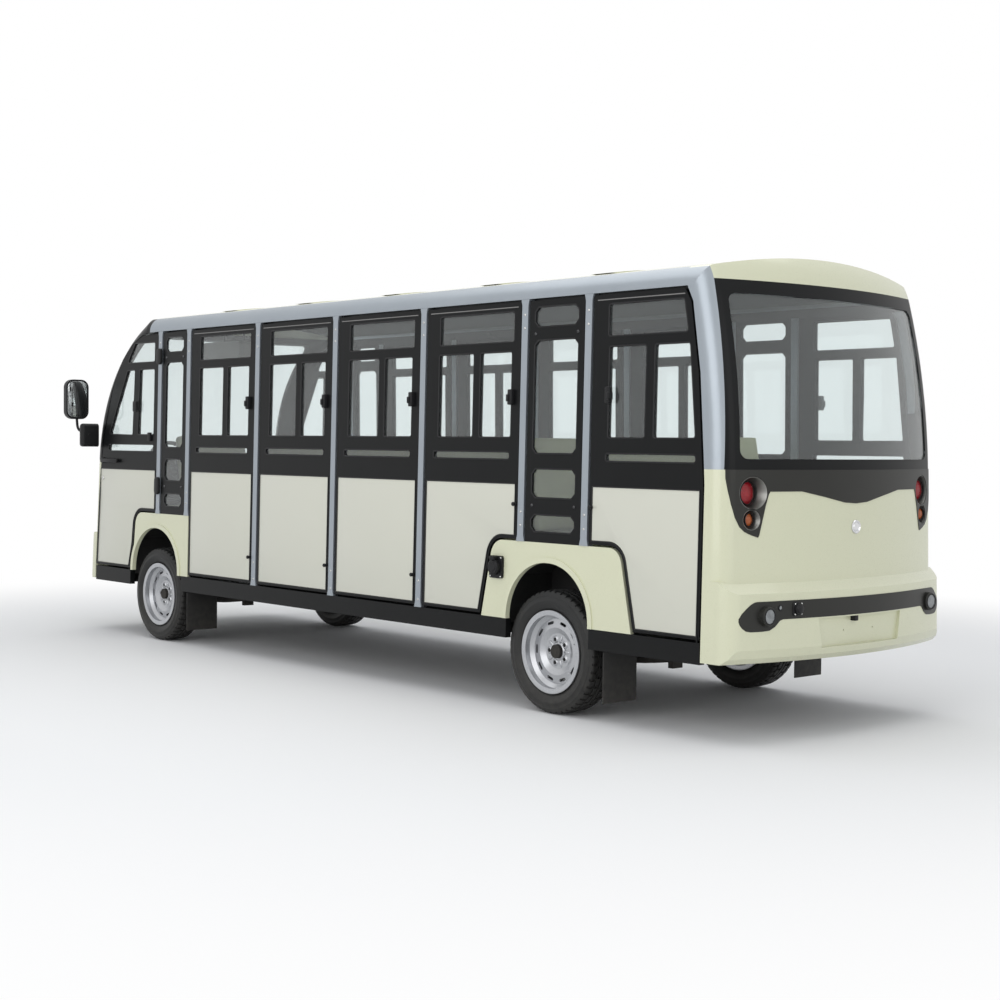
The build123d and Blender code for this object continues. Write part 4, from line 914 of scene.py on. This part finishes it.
def pad(name, centre, size, tilt, channels):
    """A crowned foam pad, its cover sewn down along its channels."""
    shape = bmesh.new()
    bmesh.ops.create_cube(shape, size=1)
    for axis, cuts in ((1, max(8, round(size[1] / 0.05))), (0, 14), (2, 3)):
        along = [e for e in shape.edges if abs((e.verts[0].co - e.verts[1].co)[axis]) > 0.5]
        bmesh.ops.subdivide_edges(shape, edges=along, cuts=cuts, use_grid_fill=True)
    for vert in shape.verts:
        x, y, z = vert.co * 2
        drawn_in = 0.03 * abs(z) ** 3
        vert.co.x = x / 2 * (1 - drawn_in)
        vert.co.y = y / 2 * (1 - drawn_in * min(1, 0.5 / size[1]))
        if z > 0:
            crown = (1 - abs(x) ** 4) * (1 - abs(y) ** 8)
            nearest = min((abs(y * size[1] / 2 - seam) for seam in channels), default=SEAM)
            sewn = min(1, nearest / SEAM)
            vert.co.z = z / 2 * (0.80 + 0.20 * crown * (0.45 + 0.55 * sewn ** 0.5))
        else:
            vert.co.z = z / 2 * 0.96
    spot = Matrix.Translation(centre) @ Matrix.Rotation(tilt, 4, "Y") @ Matrix.Diagonal((*size, 1))
    bmesh.ops.transform(shape, matrix=spot, verts=shape.verts)
    bmesh.ops.recalc_face_normals(shape, faces=shape.faces)
    piece = fit(name, shape, vinyl, sharp=80)
    soften = piece.modifiers.new("soften", "SUBSURF")
    soften.levels = soften.render_levels = 1
    return piece


# Each seat as its name, x, y, width and the height of its back along the slope.
SINGLE, BENCH = 0.5, 1.4
BACK_TALL, BACK_LOW = 0.452, 0.352
SEATS = (
    ("driver", 1.895, 0.37, SINGLE, BACK_TALL),
    ("front_passenger", 1.895, -0.37, SINGLE, BACK_TALL),
    ("row_1", 0.805, 0, BENCH, BACK_TALL),
    ("row_2", 0.04, 0, BENCH, BACK_TALL),
    ("row_3", -0.725, 0, BENCH, BACK_TALL),
    ("row_4", -1.49, 0, BENCH, BACK_TALL),
    ("row_5", -2.59, 0, BENCH, BACK_LOW),
)
upright = BACK_LEAN - pi / 2
pads = []
for name, x, y, wide, tall in SEATS:
    panels = 7 if wide == BENCH else 3
    seams = [(k - panels / 2) * wide / panels for k in range(1, panels)]
    drop = (BACK_TALL - tall) / 2
    back_at = (x + 0.008 + drop * sin(BACK_LEAN), y, 1.07 - drop * cos(BACK_LEAN))
    pads += [
        pad(f"seat_{name}_cushion", (x + 0.245, y, 0.785), (0.525, wide - 0.01, 0.108), 0, seams),
        pad(f"seat_{name}_back", back_at, (tall, wide - 0.01, 0.08), upright, seams),
    ]
pad("seat_row_5_headrest", (-2.617, 0.55, 1.235), (0.13, 0.26, 0.07), upright, ())
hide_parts("seats")


# Studio: a white floor that fades into a white surround, one broad soft lamp over the bus, one on its left
# and one behind it.
def seen_directly(tree):
    """1 for rays from the camera, through glass or off a gloss, 0 for the light that falls on things."""
    path = tree.nodes.new("ShaderNodeLightPath")
    either, any_seen = calculate(tree, "MAXIMUM"), calculate(tree, "MAXIMUM")
    wire(
        tree,
        (path, "Is Camera Ray", either, 0),
        (path, "Is Transmission Ray", either, 1),
        (either, "Value", any_seen, 0),
        (path, "Is Glossy Ray", any_seen, 1),
    )
    return any_seen


floor_mesh = bpy.data.meshes.new("studio_floor")
shape = bmesh.new()
bmesh.ops.create_grid(shape, x_segments=1, y_segments=1, size=60)
shape.to_mesh(floor_mesh)
shape.free()
studio_floor = bpy.data.objects.new("studio_floor", floor_mesh)
bpy.context.scene.collection.objects.link(studio_floor)
floor_finish = bpy.data.materials.new("studio_white")
floor_finish.use_nodes = True
floor_tree = floor_finish.node_tree
floor_shader = floor_tree.nodes["Principled BSDF"]
floor_shader.inputs["Base Color"].default_value = (0.9, 0.9, 0.9, 1)
floor_shader.inputs["Roughness"].default_value = 0.9
floor_place = add(floor_tree, "TexCoord")
floor_reach = add(floor_tree, "VectorMath")
floor_reach.operation = "LENGTH"
floor_fade = add(floor_tree, "MapRange", From_Min=3.2, From_Max=6.5)
floor_fade.interpolation_type = "SMOOTHSTEP"
floor_glow = add(floor_tree, "Emission", Color=(1, 1, 1, 1), Strength=1.0)
floor_factor = calculate(floor_tree, "MULTIPLY")
floor_blend = add(floor_tree, "MixShader")
wire(
    floor_tree,
    (floor_place, "Object", floor_reach, 0),
    (floor_reach, "Value", floor_fade, "Value"),
    (seen_directly(floor_tree), "Value", floor_factor, 0),
    (floor_fade, "Result", floor_factor, 1),
    (floor_factor, "Value", floor_blend, "Fac"),
    (floor_shader, "BSDF", floor_blend, 1),
    (floor_glow, "Emission", floor_blend, 2),
    (floor_blend, "Shader", floor_tree.nodes["Material Output"], "Surface"),
)
floor_mesh.materials.append(floor_finish)
studio_floor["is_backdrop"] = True

sky = bpy.data.worlds.new("studio")
bpy.context.scene.world = sky
sky.use_nodes = True
sky_tree = sky.node_tree
seen = add(sky_tree, "Background", Color=(1, 1, 1, 1), Strength=1.0)
lit = sky_tree.nodes["Background"]
lit.inputs["Color"].default_value = (0.93, 0.96, 1.0, 1)
lit.inputs["Strength"].default_value = 0.52
sky_blend = add(sky_tree, "MixShader")
wire(
    sky_tree,
    (seen_directly(sky_tree), "Value", sky_blend, "Fac"),
    (lit, "Background", sky_blend, 1),
    (seen, "Background", sky_blend, 2),
    (sky_blend, "Shader", sky_tree.nodes["World Output"], "Surface"),
)

# Each lamp as its name, place, aim, size and power.
for name, spot, aim, size, power in (
    ("overhead", (0, 0, 7), (0, 0, 0), 9, 275),
    ("left_side", (-3, 9, 4), (0, 0, 1), 7, 250),
    ("rear_side", (-11, 1, 3.5), (-2.5, 0, 1), 5, 120),
):
    lamp = bpy.data.lights.new(name, "AREA")
    lamp.size = size
    lamp.energy = power
    holder = bpy.data.objects.new(name, lamp)
    bpy.context.scene.collection.objects.link(holder)
    holder.location = spot
    holder.rotation_euler = (Vector(aim) - Vector(spot)).to_track_quat("-Z", "Y").to_euler()

# Camera: stands where the photograph was taken, behind the bus on its left and a little above the belt
# line. Its lens, place and turns were fitted to wheel centres, posts and roof lines.
camera_data = bpy.data.cameras.new("camera")
camera_data.sensor_width = 36
camera_data.lens = 59.190
camera_data.clip_end = 200
camera = bpy.data.objects.new("camera", camera_data)
bpy.context.scene.collection.objects.link(camera)
YAW, PITCH, ROLL = radians(-41.43566), radians(-1.95005), radians(0.59160)
forward = Vector((cos(YAW) * cos(PITCH), sin(YAW) * cos(PITCH), sin(PITCH)))
right = Vector((sin(YAW), -cos(YAW), 0))
up = right.cross(forward)
camera_right = right * cos(ROLL) + up * sin(ROLL)
camera_up = up * cos(ROLL) - right * sin(ROLL)
turn = Matrix((camera_right, camera_up, -forward)).transposed().to_4x4()
camera.matrix_world = Matrix.Translation((-7.26944, 6.00258, 1.26255)) @ turn
bpy.context.scene.camera = camera
bpy.context.scene.view_settings.view_transform = "Standard"

low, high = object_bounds()
